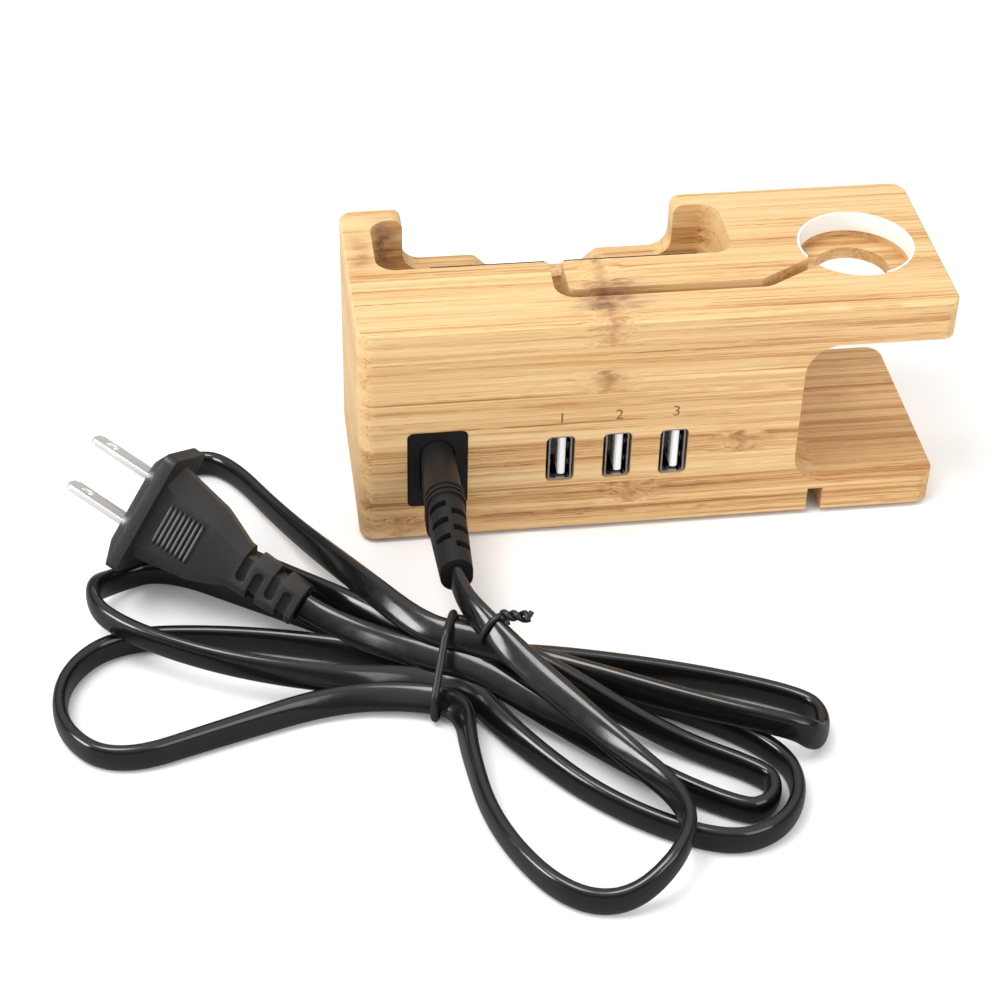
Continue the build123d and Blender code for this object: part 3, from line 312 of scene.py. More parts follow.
def end_tone(tree, grid, dense, strip_tone, broad):
    """The tone of the end grain: round pores, strips and a broad change."""
    pores = cell_distance(tree, grid, PORE_REPEATS)
    pores = maths(tree, "MULTIPLY_ADD", pores, -PORE_FALL, PORE_FULL, clamp=True)
    pores = maths(tree, "MULTIPLY", pores, dense)
    patches = maths(tree, "SUBTRACT", broad, 0.5)
    parts = ((pores, END_PORE_SHARE), (strip_tone, END_STRIP_SHARE), (patches, END_BROAD_SHARE))
    return weighted(tree, END_TONE, *parts)


def stained(tree, grid, cane):
    """The cane with its stains, each a bell curve about its middle, blotted by noise."""
    blot = noise(tree, grid, BLOT_REPEATS, BLOT_DETAIL)["Fac"]
    blot = maths(tree, "MULTIPLY_ADD", blot, BLOT_GAIN, -BLOT_START, clamp=True)
    blot = maths(tree, "MULTIPLY_ADD", blot, BLOT_SHARE, 1 - BLOT_SHARE)
    for *middle, reach_x, reach_y, reach_z, strength, colour in STAINS:
        away = vectors(tree, "SUBTRACT", grid, middle)
        away = vectors(tree, "MULTIPLY", away, (1 / reach_x, 1 / reach_y, 1 / reach_z))
        square = add(tree, "ShaderNodeVectorMath", {0: away, 1: away}, operation="DOT_PRODUCT")
        amount = maths(tree, "MULTIPLY", blot, strength)
        amount = maths(tree, "MULTIPLY", bell(tree, square.outputs["Value"]), amount)
        cane = mixed(tree, amount, cane, colour)
    return cane


bamboo, tree, shader = material("bamboo", CANE_BODY, CANE_ROUGHNESS)
grid = millimetres(tree)
axes = add(tree, "ShaderNodeSeparateXYZ", {0: grid}).outputs
strip, depth = strip_and_depth(tree, axes["Z"])
from_knot = distance_from_knot(tree, grid, axes["X"], strip)
fibres = fibre_place(tree, grid, strip, from_knot)
strip_tone = per_strip(tree, strip, STRIP_TONES, TONE_SPAN)
dense = maths(tree, "POWER", depth, 2.0)
dense = maths(tree, "MULTIPLY_ADD", dense, SKIN_DENSITY, 1 - SKIN_DENSITY)
fine = drawn_noise(tree, fibres, FINE_REPEATS, FINE_DETAIL)
middle = drawn_noise(tree, fibres, MIDDLE_REPEATS, BROAD_DETAIL)
broad = drawn_noise(tree, fibres, BROAD_REPEATS, BROAD_DETAIL)
bundle = vessel_bundles(tree, fibres, dense)
tone = weighted(
    tree,
    maths(tree, "ADD", strip_tone, SIDE_TONE),
    (fine, FINE_SHARE),
    (middle, MIDDLE_SHARE),
    (broad, BROAD_SHARE),
    (bundle, BUNDLE_SHARE),
    (hair_lines(tree, fibres), HAIR_SHARE),
)
to_end = maths(tree, "SUBTRACT", end_tone(tree, grid, dense, strip_tone, broad), tone)
tone = maths(tree, "MULTIPLY_ADD", to_end, end_share(tree), tone)
cane = ramp(tree, tone, CANE_STOPS)
glue = maths(tree, "MULTIPLY", maths(tree, "LESS_THAN", depth, GLUE_LINE), GLUE_SHADE)
cane = mixed(tree, glue, cane, CANE_LINE)
knot_line = maths(tree, "MULTIPLY", knot_hill(tree, from_knot, KNOT_LINE), KNOT_SHADE)
cane = mixed(tree, knot_line, cane, CANE_DARK)
tree.links.new(stained(tree, grid, cane), shader.inputs["Base Color"])
gloss = maths(tree, "MULTIPLY_ADD", fine, ROUGHNESS_SHARE, ROUGHNESS_LEAST)
tree.links.new(gloss, shader.inputs["Roughness"])
emboss(tree, shader, maths(tree, "SUBTRACT", fine, bundle), CANE_RELIEF)
paint(bamboo, "bamboo_body")

# Socket numbers: plain digits burned into the wood above the three sockets. Here each is
# a flat sheet of the charred colour, a hair in front of the face so that it shows
PORT_SHELLS = ["usb_shell_1", "usb_shell_2", "usb_shell_3"]
DIGIT_HEIGHT = 4.2
DIGIT_BASE = 33.6
DIGIT_PROUD = 0.015
CHAR_BROWN = (0.20, 0.085, 0.035)
GRAIN_NOISE = (0.3, 0.7)
GRAIN_DETAIL = 3.0


def grain_group():
    """A shader group: noise of a size, as a height and as a value between two bounds."""
    group = bpy.data.node_groups.new("mould_grain", "ShaderNodeTree")
    group.interface.new_socket("Place", in_out="INPUT", socket_type="NodeSocketVector")
    for name in ("Size", "Low", "High"):
        group.interface.new_socket(name, in_out="INPUT", socket_type="NodeSocketFloat")
    for name in ("Height", "Value"):
        group.interface.new_socket(name, in_out="OUTPUT", socket_type="NodeSocketFloat")
    entry = group.nodes.new("NodeGroupInput").outputs
    leave = group.nodes.new("NodeGroupOutput").inputs
    scale = maths(group, "DIVIDE", 1.0, entry["Size"])
    inputs = {"Vector": entry["Place"], "Scale": scale, "Detail": GRAIN_DETAIL}
    height = add(group, "ShaderNodeTexNoise", inputs).outputs["Fac"]
    bounds = {0: height, 1: GRAIN_NOISE[0], 2: GRAIN_NOISE[1], 3: entry["Low"], 4: entry["High"]}
    level = add(group, "ShaderNodeMapRange", bounds)
    group.links.new(height, leave["Height"])
    group.links.new(level.outputs[0], leave["Value"])
    return group


mould_grain = grain_group()


def grained(tree, shader, size, rough):
    """Makes a shader's roughness follow the grain between two bounds, and gives its height."""
    node = add(tree, "ShaderNodeGroup", node_tree=mould_grain)
    tree.links.new(millimetres(tree), node.inputs["Place"])
    for key, value in (("Size", size), ("Low", rough[0]), ("High", rough[1])):
        node.inputs[key].default_value = value
    tree.links.new(node.outputs["Value"], shader.inputs["Roughness"])
    return node.outputs["Height"]


def finish(name, colour, rough, size=0.3, relief=0.06, **sockets):
    """A finish of wood, rubber or plastic whose gloss and relief follow the grain."""
    made, tree, shader = material(name, colour, rough[1], **sockets)
    emboss(tree, shader, grained(tree, shader, size, rough), relief)
    return made


def mesh_piece(name, points, faces, body, made, slot, smooth=True):
    """A mesh on a body of the frame, from points in metres and faces by index."""
    mesh = bpy.data.meshes.new(name)
    mesh.from_pydata(np.asarray(points).tolist(), [], [list(face) for face in faces])
    mesh.update()
    if smooth:
        mesh.shade_smooth()
    thing = bpy.data.objects.new(name, mesh)
    bpy.context.scene.collection.objects.link(thing)
    mesh.materials.append(made)
    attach(thing, body)
    return thing


def digit_outlines(number, place):
    """Points and faces of a digit: its flat outline stood upright before the port face."""
    digit = bpy.data.curves.new("socket_number", "FONT")
    digit.body = str(number)
    digit.align_x = "CENTER"
    digit.size = DIGIT_HEIGHT * MM
    thing = bpy.data.objects.new("socket_number", digit)
    flat = bpy.data.meshes.new_from_object(thing)
    bpy.data.objects.remove(thing)
    corners = np.array([vertex.co for vertex in flat.vertices])
    front = np.full(len(corners), (PORT_FACE - DIGIT_PROUD) * MM)
    upright = np.stack([corners[:, 0] + place * MM, front, corners[:, 1] + DIGIT_BASE * MM], 1)
    return upright, [list(polygon.vertices) for polygon in flat.polygons]


burn = finish("burned_wood", CHAR_BROWN, rough=(0.6, 0.8), size=0.4)
for number, shell in enumerate(PORT_SHELLS, start=1):
    place = float(sum(corner[0] for corner in span(shell))) / 2
    name = f"socket_number_{number}"
    mesh_piece(name, *digit_outlines(number, place), "station", burn, "bamboo", smooth=False)

# Pocket pads: two strips of black needled felt, die cut and glued to the pocket's near
# wall either side of the notch, where the phone's back rests
FELT_BLACK = (0.016, 0.015, 0.014)
felt = finish(
    "felt", FELT_BLACK, rough=(0.9, 1.0), size=0.2, relief=0.3, Sheen_Weight=0.3, Specular_IOR_Level=0.1
)
paint(felt, "back_pad_left", "back_pad_right")

# Watch ring: a thin split ring of white plastic, moulded and pressed into the seat of the
# arm, which the charging puck clips into
RING_WHITE = (0.86, 0.87, 0.85)
paint(finish("ring_plastic", RING_WHITE, rough=(0.25, 0.4), size=1.5, relief=0.02), "watch_ring")

# Mains inlet: a black moulded two-pole housing pushed into the wood, with two nickel
# plated pins that run through its floor to solder tails
INLET_BLACK = (0.01, 0.01, 0.0105)
NICKEL = (0.90, 0.89, 0.87)
# Painted sheen: the nickel is metallic only in part, so its pale colour shows bright where its reflection
# would be dark
NICKEL_METALLIC_PAINTED_SHEEN = 0.6


def metal(name, colour, rough, size=0.8, metallic=1.0):
    """A metal whose gloss changes in scuffs; a metallic share under one lets part of its colour show as
    diffuse, a painted sheen.
    """
    made, tree, shader = material(name, colour, rough[1], Metallic=metallic)
    grained(tree, shader, size, rough)
    return made


inlet_plastic = finish(
    "inlet_plastic", INLET_BLACK, rough=(0.4, 0.55), size=0.25, Specular_IOR_Level=0.35
)
paint(inlet_plastic, "inlet_housing")
# The nickel's share of diffuse colour is a painted sheen that keeps the pins and blades bright
nickel = metal("nickel", NICKEL, rough=(0.16, 0.26), size=9.0, metallic=NICKEL_METALLIC_PAINTED_SHEEN)
paint(nickel, "inlet_pins")

# USB sockets: folded steel shells soldered to the board, each round a white moulded
# tongue with four gilt contacts. The steel's colour is darkened inwards as painted shade,
# for the shadow inside each deep narrow shell, as in a deep narrow box
SHELL_STEEL = (0.80, 0.80, 0.81)
# Painted shade: the near black that the steel's colour turns to deep inside the shell
SHELL_PAINTED_SHADE = (0.03, 0.03, 0.032)
SHELL_ROUGHNESS = 0.22
SHELL_SHADE_START_DEPTH = 0.9
SHELL_FULL_SHADE_DEPTH = 2.9
TONGUE_WHITE = (0.88, 0.88, 0.87)
GILT = (0.78, 0.56, 0.22)


def shell_finish():
    """Steel with painted shade: its colour goes from bright to dark with the depth behind the port face,
    for the shadow inside the shell.
    """
    made, tree, shader = material("socket_steel", SHELL_STEEL, SHELL_ROUGHNESS, Metallic=1.0)
    inward = add(tree, "ShaderNodeSeparateXYZ", {0: millimetres(tree)}).outputs["Y"]
    inward = maths(tree, "SUBTRACT", inward, PORT_FACE)
    # Painted shade: how far the steel's colour has turned dark, by depth behind the port face
    painted_shade = add(tree, "ShaderNodeMapRange", {0: inward, 1: SHELL_SHADE_START_DEPTH, 2: SHELL_FULL_SHADE_DEPTH, 3: 0.0, 4: 1.0})
    steel = mixed(tree, painted_shade.outputs[0], SHELL_STEEL, SHELL_PAINTED_SHADE)
    tree.links.new(steel, shader.inputs["Base Color"])
    return made


paint(shell_finish(), *PORT_SHELLS)
tongue_plastic = finish("tongue_plastic", TONGUE_WHITE, rough=(0.3, 0.45))
paint(tongue_plastic, "usb_tongue_1", "usb_tongue_2", "usb_tongue_3")
gilt = metal("gilt", GILT, rough=(0.18, 0.32))
paint(gilt, "usb_contacts_1", "usb_contacts_2", "usb_contacts_3")

# Power supply: a green glass laminate board on two wooden posts, with a wound transformer
# on a ferrite core, capacitors in sleeves, resin parts and two sleeved wires, all soldered
BOARD_GREEN = (0.02, 0.13, 0.05)
FERRITE_GREY = (0.05, 0.05, 0.055)
TAPE_YELLOW = (0.75, 0.52, 0.05)
SLEEVE_BLUE = (0.02, 0.03, 0.08)
RESIN_BLACK = (0.02, 0.02, 0.02)
WIRE_BLACK = (0.03, 0.03, 0.03)
paint(finish("board_laminate", BOARD_GREEN, rough=(0.35, 0.5), size=0.6), "circuit_board")
paint(finish("ferrite", FERRITE_GREY, rough=(0.5, 0.7)), "transformer_core")
paint(finish("winding_tape", TAPE_YELLOW, rough=(0.3, 0.5)), "transformer_winding")
capacitor_sleeve = finish("capacitor_sleeve", SLEEVE_BLUE, rough=(0.3, 0.45))
paint(capacitor_sleeve, "bulk_capacitors", "output_capacitors")
paint(finish("chip_resin", RESIN_BLACK, rough=(0.5, 0.7)), "fuse", "control_chip", "rectifier")
paint(finish("wire_sleeve", WIRE_BLACK, rough=(0.35, 0.5)), "mains_wires")

# Bottom cover and feet: a black moulded plate let into the underside and held by four
# steel screws, and four feet of black rubber let into round recesses in the wood
COVER_BLACK = (0.018, 0.018, 0.019)
RUBBER_BLACK = (0.03, 0.03, 0.03)
SCREW_STEEL = (0.55, 0.55, 0.56)
paint(finish("cover_plastic", COVER_BLACK, rough=(0.45, 0.6)), "bottom_cover")
paint(metal("screw_steel", SCREW_STEEL, rough=(0.25, 0.45)), "cover_screws", "board_screws")
foot_rubber = finish("foot_rubber", RUBBER_BLACK, rough=(0.7, 0.9))
paint(foot_rubber, "foot_1", "foot_2", "foot_3", "foot_4")

# Lead ends: soft black mouldings over the cord's ends, with rounded edges and slots that
# let the cord bend. The plug carries two nickel plated blades, and grip ribs on its broad
# face, which are round bars here, coloured lighter than the plug body as a painted
# highlight for the light their round tops catch. The connector has two gilt sleeves in its nose
LEAD_BLACK = (0.010, 0.010, 0.0105)
PLUG_BLACK = (0.019, 0.019, 0.019)
# Painted highlight: the ribs' colour, lighter than the plug body's for the light they catch
RIB_BLACK_PAINTED_HIGHLIGHT = (0.085, 0.085, 0.086)
PLUG_EDGE = 0.45
CONNECTOR_EDGE = 0.35
BLADE_EDGE = 0.16
EDGE_STEPS = 3
SHARP_FROM = 28
FLAT_WITHIN = 1
MERGE_WITHIN = 0.01
RIB_COUNT = 8
RIB_START = -3.5
RIB_SPACING = 1.25
RIB_HALF = 5.15
RIB_RADIUS = 0.36
RIB_LEVEL = 7.0
RIB_ROUND = 12
RIB_TIP = 0.97
RIB_SIDES = 12
RIB_RINGS = 15
PLUG_MIDDLE = (-120.2, -39.4, 23.4)
PLUG_HEADING = 144.7
PLUG_RISE = 18.5
PLUG_ROLL = 57.0
PLUG_PLACE = (
    Matrix.Translation(PLUG_MIDDLE)
    @ Matrix.Rotation(math.radians(PLUG_HEADING), 4, "Z")
    @ Matrix.Rotation(math.radians(-PLUG_RISE), 4, "Y")
    @ Matrix.Rotation(math.radians(-PLUG_ROLL), 4, "X")
)


def softened(name, width, made):
    """A copy of a solid, its doubles merged and its sharp edges rounded by a width in mm."""
    mesh = bpy.data.meshes.new(name + "_soft")
    shape = bmesh.new()
    shape.from_mesh(nodes[name].data)
    bmesh.ops.remove_doubles(shape, verts=shape.verts, dist=MERGE_WITHIN * MM)
    flat = math.radians(FLAT_WITHIN)
    bmesh.ops.dissolve_limit(shape, angle_limit=flat, verts=shape.verts, edges=shape.edges)
    shape.to_mesh(mesh)
    shape.free()
    mesh.shade_smooth()
    mesh.materials.clear()
    mesh.materials.append(made)
    thing = bpy.data.objects.new(name + "_soft", mesh)
    bpy.context.scene.collection.objects.link(thing)
    rounding = thing.modifiers.new("rounding", "BEVEL")
    rounding.width = width * MM
    rounding.segments = EDGE_STEPS
    rounding.limit_method = "ANGLE"
    rounding.angle_limit = math.radians(SHARP_FROM)
    rounding.harden_normals = True
    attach(thing, "lead")
    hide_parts(name)
    return thing


def skin(rings):
    """Points and faces of rings of equal count joined in order, both ends closed."""
    count, sides = rings.shape[:2]
    corner = np.arange(count * sides).reshape(count, sides)
    after = np.roll(corner, -1, axis=1)
    walls = np.stack([corner[:-1], after[:-1], after[1:], corner[1:]], -1).reshape(-1, 4)
    return rings.reshape(-1, 3), [*walls.tolist(), corner[0][::-1].tolist(), corner[-1].tolist()]


def grip_ribs():
    """Points and faces of the ribs: bars across the plug, their ends rounded by a high power.

    The radius is the rib's times the root of one less a share of the way across to that power.
    """
    turn = np.linspace(0, 2 * np.pi, RIB_SIDES, endpoint=False)
    share = np.linspace(-1, 1, RIB_RINGS)
    radius = RIB_RADIUS * np.sqrt(1 - RIB_TIP * np.abs(share) ** RIB_ROUND)
    along = radius[:, None] * np.cos(turn)
    across = np.broadcast_to(RIB_HALF * share[:, None], along.shape)
    above = RIB_LEVEL + radius[:, None] * np.sin(turn)
    points, faces = [], []
    for rib in range(RIB_COUNT):
        rings = np.stack([RIB_START - rib * RIB_SPACING + along, across, above], -1)
        bar, sides = skin(rings)
        faces += [[corner + len(bar) * rib for corner in side[::-1]] for side in sides]
        points.append(bar)
    turned = np.array(PLUG_PLACE.to_3x3()) @ np.concatenate(points).T
    return (turned.T + np.array(PLUG_PLACE.to_translation())) * MM, faces


lead_moulding = finish(
    "lead_moulding", LEAD_BLACK, rough=(0.34, 0.48), size=0.6, Specular_IOR_Level=0.28
)
plug_moulding = finish("plug_moulding", PLUG_BLACK, rough=(0.3, 0.45), size=0.6)
# The ribs' lighter colour is a painted highlight on the same black moulding as the plug
rib_moulding_painted_highlight = finish("rib_moulding_painted_highlight", RIB_BLACK_PAINTED_HIGHLIGHT, rough=(0.26, 0.34), size=0.6, relief=0.02)
plug_soft = softened("plug_body", PLUG_EDGE, plug_moulding)
connector_soft = softened("lead_connector", CONNECTOR_EDGE, lead_moulding)
blades_soft = softened("plug_blades", BLADE_EDGE, nickel)
ribs = mesh_piece("grip_ribs", *grip_ribs(), "lead", rib_moulding_painted_highlight, "relief")
paint(gilt, "contact_sleeves")

# Mains cord: a flat two-core cord, glossy black. It leaves the connector, steps over the
# tie, goes round seven lobes and ends in the plug. It stands on edge in the lobes and
# leans where the tie draws it together
CORD_WIDTH = 6.8
CORD_THICK = 3.4
CORD_SIDES = 32
CORD_BLACK = (0.005, 0.005, 0.0055)
SECTION_POWER = 2.5
WAIST = Vector((-57.5, -82.5, 2.35))
WAIST_HEADING = -20.0
WAIST_HALF = 6.0
WAIST_PITCH = 5.4
WAIST_LIFT = 2.2
LEVEL_STEP = 5.3
FLOOR_GAP = 0.1
EDGE_FLOOR = CORD_WIDTH / 2 + FLOOR_GAP
EDGE_STEP = 7.2
STRAND_PULL = 0.4
FALL_LENGTH = 40.0
STRAND_POINTS = 2
TURN_POINTS = 4
CORD_START = Vector((-53.5, -67.4, 21.8))
STRAIGHT_END = Vector((-53.5, -73.4, 21.4))
STEPPED_OVER = Vector((-47.5, -86.0, 20.3))
OVER_HEADING = -62.0
PLUG_END = 40.0
PLUG_STRAIGHT = 9.0
START_LEANS = [0.0, -10.0]
FIRST_LEANS = [-55.0, -45.0, -20.0]
PORT_LEAN = 45.0
NEXT_LEAN = 18.0
PLUG_LEAN = 33.0
LEAN_SMOOTHING = 12
CURVE_STEPS = 16
# Lobes in the order in which the cord passes. Each has its side of the waist, heading,
# reach and width, then for the strand out and the strand back the column and level at the
# waist, the level at the round end, the bow and the length over which it keeps its level,
# and last the points of the round end at the level of the way out
LOBES = [
    (1, -62.3, 77.4, 34.1, (None, 0, 1, 0.5, 0), (-1.5, 0, 0, -6.4, 0), 2),
    (-1, 179.0, 87.4, 42.0, (-1.5, 0, 0, -5.0, 0), (0.5, 0, 0, -2.0, 0), 0),
    (1, -35.6, 85.3, 33.0, (0.5, 0, 0, 5.0, 0), (-0.5, 0, 0, -6.5, 0), 0),
    (-1, 154.5, 86.5, 30.0, (-0.5, 0, 1, 8.0, 0), (1.5, 0, 0, 1.5, 0), 2),
    (1, -17.0, 85.8, 17.0, (1.5, 0, 0, 4.0, 0), (1.0, 1, 1, 0.0, 0), 3),
    (-1, 125.5, 104.0, 24.0, (1.0, 1, 0, -1.0, 22), (0.5, 2, 0, 0.0, 27), 0),
    (1, -34.5, 80.0, 13.0, (0.5, 2, 0, -1.0, 12), (0.0, 1, 0, -2.0, 2), 0),
]


def level_vector(heading, distance):
    """A level vector of a length, its heading in degrees from +X to +Y."""
    turn = math.radians(heading)
    return Vector((distance * math.cos(turn), distance * math.sin(turn), 0))


def waist_port(end, column, level):
    """Where a strand leaves the waist: end +1 is the right, columns count to the far side."""
    along = level_vector(WAIST_HEADING, end * WAIST_HALF)
    across = level_vector(WAIST_HEADING + 90, column * WAIST_PITCH)
    return WAIST + along + across + Vector((0, 0, WAIST_LIFT + level * LEVEL_STEP))


def strand(start, start_way, finish, finish_way, bow, hold):
    """Points of a cubic from one place to the other, bowed to the left of its way by a sine.

    Its height keeps the start's over a length, and then goes smoothly to the finish's.
    """
    reach = (finish - start).length
    aside = Vector((start.y - finish.y, finish.x - start.x, 0)).normalized()
    points = []
    for step in range(STRAND_POINTS + 1):
        share = step / (STRAND_POINTS + 1)
        settled = share * share * (3 - 2 * share)
        leaving = share * (1 - share) ** 2 * STRAND_PULL * reach
        arriving = share * share * (1 - share) * STRAND_PULL * reach
        place = start.lerp(finish, settled) + start_way * leaving - finish_way * arriving
        place += aside * (bow * math.sin(math.pi * share))
        fallen = max(0, min((share * reach - hold) / FALL_LENGTH, 1))
        fallen = fallen * fallen * (3 - 2 * fallen)
        place.z = start.z + (finish.z - start.z) * fallen
        points.append(place)
    return points


def lobe_points(end, heading, reach, width, out, back, high_points):
    """Points of one lobe, clockwise from above, and the lean of the cord at each.

    A strand out, the corners of a half circle drawn round outside it, and a strand back.
    """
    radius = width / 2
    middle = Vector((WAIST.x, WAIST.y, EDGE_FLOOR)) + level_vector(heading, reach - radius)
    strands = []
    for side, (column, level, landing, bow, hold) in ((90, out), (-90, back)):
        finish = middle + level_vector(heading + side, radius)
        finish.z += landing * EDGE_STEP
        first, way = STEPPED_OVER, level_vector(OVER_HEADING, 1)
        if column is not None:
            first, way = waist_port(end, column, level), level_vector(WAIST_HEADING, end)
        strands.append(strand(first, way, finish, level_vector(heading, 1), bow, hold))
    outer_radius = radius / math.cos(math.pi / 2 / TURN_POINTS)
    turn = []
    for number in range(TURN_POINTS):
        angle = heading + 90 - 180 * (number + 0.5) / TURN_POINTS
        point = middle + level_vector(angle, outer_radius)
        point.z += (out[2] if number < high_points else back[2]) * EDGE_STEP
        turn.append(point)
    leaning = [-PORT_LEAN * end, -NEXT_LEAN * end, 0.0]
    lean_out = FIRST_LEANS if out[0] is None else leaning
    lean_back = [-lean for lean in leaning[::-1]]
    return strands[0] + turn + strands[1][::-1], lean_out + [0.0] * TURN_POINTS + lean_back


def cord_route():
    """Control points of the whole cord, and the lean of its section at each."""
    points = [CORD_START, STRAIGHT_END]
    leans = list(START_LEANS)
    for lobe in LOBES:
        lobe_route, lobe_leans = lobe_points(*lobe)
        points += lobe_route
        leans += lobe_leans
    points.append(waist_port(-1, 0.0, 1))
    points.append(PLUG_PLACE @ Vector((-PLUG_END - PLUG_STRAIGHT, 0, 0)))
    points.append(PLUG_PLACE @ Vector((-PLUG_END, 0, 0)))
    return points, leans + [PORT_LEAN, PLUG_LEAN, PLUG_LEAN]


def smooth_line(points):
    """Points along a NURBS curve of order three over control points, in metres."""
    curve = bpy.data.curves.new("cord_line", "CURVE")
    curve.dimensions = "3D"
    spline = curve.splines.new("NURBS")
    spline.points.add(len(points) - 1)
    for point, place in zip(spline.points, points):
        point.co = (*(place * MM), 1)
    spline.order_u = 3
    spline.use_endpoint_u = True
    spline.resolution_u = CURVE_STEPS
    thing = bpy.data.objects.new("cord_line", curve)
    line = bpy.data.meshes.new_from_object(thing)
    bpy.data.objects.remove(thing)
    return np.array([vertex.co for vertex in line.vertices])


def flat_section(width, thickness, sides):
    """A superellipse: half the width times the cosine of a turning angle to a power, signed,
    and half the thickness times its sine to that power.
    """
    angle = np.linspace(0, 2 * np.pi, sides, endpoint=False)
    share = 2 / SECTION_POWER
    across = width / 2 * np.sign(np.cos(angle)) * np.abs(np.cos(angle)) ** share
    over = thickness / 2 * np.sign(np.sin(angle)) * np.abs(np.sin(angle)) ** share
    return across, over


def swept(path, lean_degrees, section):
    """Rings of a section along a path: its width stands upright, leant by an angle."""
    ways = np.gradient(path, axis=0)
    ways /= np.linalg.norm(ways, axis=1)[:, None]
    sides = np.cross(ways, (0, 0, 1))
    sides /= np.linalg.norm(sides, axis=1)[:, None]
    ups = np.cross(sides, ways)
    lean = np.radians(lean_degrees)[:, None]
    first = (ups * np.cos(lean) + sides * np.sin(lean))[:, None]
    second = (sides * np.cos(lean) - ups * np.sin(lean))[:, None]
    across, over = section
    return path[:, None] + MM * (first * across[:, None] + second * over[:, None])


def smoothed(values, count, half_window):
    """Values spread evenly over a count of places, each the mean of its window."""
    places = np.linspace(0, len(values) - 1, count)
    spread = np.interp(places, np.arange(len(values)), values)
    window = 2 * half_window + 1
    return np.convolve(np.pad(spread, half_window, "edge"), np.ones(window) / window, "valid")


route, leans = cord_route()
cord_path = smooth_line(route)
cord_section = flat_section(CORD_WIDTH, CORD_THICK, CORD_SIDES)
cord_rings = swept(cord_path, smoothed(leans, len(cord_path), LEAN_SMOOTHING), cord_section)
cord_pvc = finish(
    "cord_pvc", CORD_BLACK, rough=(0.14, 0.24), size=3.0, relief=0.08, Coat_Weight=0.4, Coat_Roughness=0.12
)
cord_piece = mesh_piece("mains_cord", *skin(cord_rings), "lead", cord_pvc, "black_pvc")
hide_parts("lead_cord", "lead_hank", "lead_tail")

# Twist tie: steel wire coated in black plastic. One turn holds the hank, and its two ends
# go round the strand that steps over the hank and are twisted together there by hand
TIE_BLACK = (0.012, 0.012, 0.012)
TIE_WIRE = 0.65
TIE_SIDES = 10
WRAP_GAP = 0.1
WRAP_AT = (-50.0, -86.5, 19.5)
WRAP_FIRST_POINTS = 200
WRAP_RINGS = 40
ENDS_LENGTH = 6.5
ENDS_TURNS = 1.5
ENDS_RINGS = 24
ENDS_HEADING = WAIST_HEADING + 8
ENDS_OUT = 1.02
ENDS_ACROSS = (0.34, 0.94)
ENDS_APART = 1.05
SPLAY_FROM = 0.75
SPLAY_RATE = 6.4
TIE_TURN = np.linspace(0, 2 * np.pi, TIE_SIDES, endpoint=False)


def wrap_place():
    """The middle of the wrap, the cord's way there, and the wrap's half axes in metres."""
    distances = np.linalg.norm(cord_path[:WRAP_FIRST_POINTS] - np.array(WRAP_AT) * MM, axis=1)
    place = int(np.argmin(distances))
    middle = cord_path[place]
    way = cord_path[place + 1] - cord_path[place - 1]
    wide = cord_rings[place, 0] - middle
    thick = cord_rings[place, CORD_SIDES // 4] - middle
    clear = (TIE_WIRE + WRAP_GAP) * MM
    wide *= 1 + clear / np.linalg.norm(wide)
    thick *= 1 + clear / np.linalg.norm(thick)
    return middle, way / np.linalg.norm(way), wide, thick


def wrap_ring(middle, way, wide, thick):
    """Points and faces of the wrap: a round wire along an ellipse about the cord."""
    angle = np.linspace(0, 2 * np.pi, WRAP_RINGS, endpoint=False)[:, None]
    out = np.cos(angle) * wide + np.sin(angle) * thick
    radial = out / np.linalg.norm(out, axis=1)[:, None]
    wire = radial[:, None] * np.cos(TIE_TURN)[:, None] + way * np.sin(TIE_TURN)[:, None]
    ring = middle + out[:, None] + TIE_WIRE * MM * wire
    corner = np.arange(WRAP_RINGS * TIE_SIDES).reshape(WRAP_RINGS, TIE_SIDES)
    beside, after = np.roll(corner, -1, axis=1), np.roll(corner, -1, axis=0)
    faces = np.stack([corner, beside, np.roll(after, -1, axis=1), after], -1)
    return ring.reshape(-1, 3), faces.reshape(-1, 4).tolist()


def twisted_end(middle, wide, half_turn):
    """Points and faces of one end: a helix about a level line, which splays at its tip."""
    share = np.linspace(0, 1, ENDS_RINGS)
    spin = 2 * np.pi * ENDS_TURNS * share + half_turn
    drift = TIE_WIRE * ENDS_APART * MM * (1 + SPLAY_RATE * np.clip(share - SPLAY_FROM, 0, 1))
    across_x, across_y = ENDS_ACROSS
    aside = np.stack([across_x * np.cos(spin), across_y * np.cos(spin), np.sin(spin)], 1)
    along = np.array(level_vector(ENDS_HEADING, 1)) * (ENDS_LENGTH * MM * share)[:, None]
    line = middle + wide * ENDS_OUT + along + aside * drift[:, None]
    circle = (TIE_WIRE * np.cos(TIE_TURN), TIE_WIRE * np.sin(TIE_TURN))
    return skin(swept(line, np.zeros(ENDS_RINGS), circle))


def wrap_and_ends():
    """Points and faces of the wrap and of both ends, joined in one mesh."""
    middle, way, wide, thick = wrap_place()
    parts = [wrap_ring(middle, way, wide, thick)]
    parts += [twisted_end(middle, wide, half_turn) for half_turn in (0, np.pi)]
    points, faces = np.zeros((0, 3)), []
    for part_points, part_faces in parts:
        faces += [[number + len(points) for number in face] for face in part_faces]
        points = np.concatenate([points, part_points])
    return points, faces


tie_coat = finish("tie_coat", TIE_BLACK, rough=(0.3, 0.42))
paint(tie_coat, "twist_tie")
tie_ends = mesh_piece("tie_ends", *wrap_and_ends(), "lead", tie_coat, "tie")

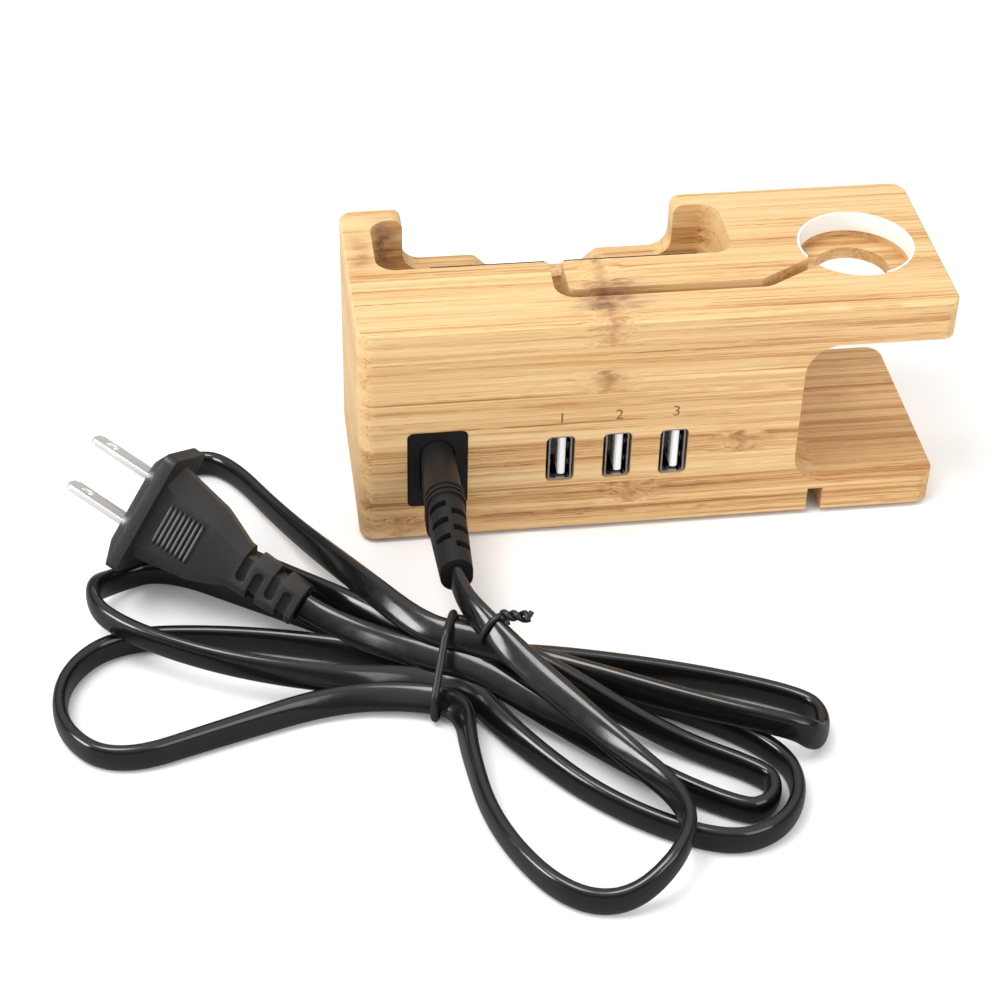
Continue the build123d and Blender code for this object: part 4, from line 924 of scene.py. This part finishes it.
# Floor, light and camera: a white plane, three softboxes and a pale room whose upper part
# is bright and whose sides are dim in reflections, seen from the photograph's viewpoint
FLOOR_SIZE = 8
FLOOR_LEVEL = -0.2
FLOOR_ROUGHNESS = 0.6
FLOOR_WHITE = (0.92, 0.92, 0.92)
FLOOR_REFLECTED = (0.20, 0.20, 0.20)
ROOM_WHITE = (1.0, 1.0, 1.0)
ROOM_LIGHT = (0.93, 0.93, 0.93)
ROOM_STOPS = [(0.0, (0.12,) * 3), (0.3, (0.14,) * 3), (0.6, (0.55,) * 3), (0.9, (0.95,) * 3)]
# Softboxes: name, place, what it is aimed at, size in metres and power in watts
SOFTBOXES = [
    ("key", (-0.35, -0.15, 0.9), (0, -0.03, 0.03), 0.45, 4.8),
    ("fill", (0.5, -0.8, 0.5), (0, -0.03, 0.03), 0.6, 2.9),
    ("side", (-0.95, -0.22, 0.34), (-0.1, -0.03, 0.03), 0.35, 4.6),
]
SENSOR_WIDTH = 36
LENS = 82.82
CAMERA_PLACE = (-0.10357, -0.46520, 0.36584)
CAMERA_TURN = (129.06, -6.64, -3.87)


def floor_finish():
    """White to the eye and to the light on it, grey in reflections."""
    made, tree, shader = material("floor_white", FLOOR_WHITE, FLOOR_ROUGHNESS, Specular_IOR_Level=0.2)
    glossy = add(tree, "ShaderNodeLightPath").outputs["Is Glossy Ray"]
    tree.links.new(mixed(tree, glossy, FLOOR_WHITE, FLOOR_REFLECTED), shader.inputs["Base Color"])
    return made


def light_room():
    """The world: white to the eye, a ramp over the height of a reflection, and plain light."""
    world = bpy.data.worlds.new("studio")
    world.use_nodes = True
    tree = world.node_tree
    ray = add(tree, "ShaderNodeLightPath").outputs
    way = add(tree, "ShaderNodeTexCoord").outputs["Generated"]
    upward = add(tree, "ShaderNodeSeparateXYZ", {0: way}).outputs["Z"]
    seen = mixed(tree, ray["Is Glossy Ray"], ROOM_LIGHT, ramp(tree, upward, ROOM_STOPS))
    seen = mixed(tree, ray["Is Camera Ray"], seen, ROOM_WHITE)
    background = tree.nodes["Background"]
    tree.links.new(seen, background.inputs["Color"])
    background.inputs["Strength"].default_value = 1.0
    bpy.context.scene.world = world


def softbox(name, place, target, size, power):
    """A square softbox at a place, aimed at a target."""
    light = bpy.data.lights.new(name, "AREA")
    light.shape = "SQUARE"
    light.size = size
    light.energy = power
    thing = bpy.data.objects.new(name, light)
    thing.location = place
    thing.rotation_euler = (Vector(target) - Vector(place)).to_track_quat("-Z", "Y").to_euler()
    bpy.context.scene.collection.objects.link(thing)


def place_camera():
    """The photograph's camera: its turn from the frame to the picture, undone and flipped."""
    camera = bpy.data.cameras.new("camera")
    camera.sensor_width = SENSOR_WIDTH
    camera.lens = LENS
    viewer = bpy.data.objects.new("camera", camera)
    bpy.context.scene.collection.objects.link(viewer)
    turn = Euler([math.radians(angle) for angle in CAMERA_TURN], "XYZ").to_matrix()
    flip = Matrix(((1, 0, 0), (0, -1, 0), (0, 0, -1)))
    viewer.matrix_world = Matrix.Translation(CAMERA_PLACE) @ (turn.transposed() @ flip).to_4x4()
    bpy.context.scene.camera = viewer


bpy.ops.mesh.primitive_plane_add(size=FLOOR_SIZE, location=(0, 0, FLOOR_LEVEL * MM))
floor = bpy.context.object
floor.name = "floor"
floor.data.materials.append(floor_finish())
light_room()
for box in SOFTBOXES:
    softbox(*box)
place_camera()
bpy.context.scene.view_settings.view_transform = "Standard"
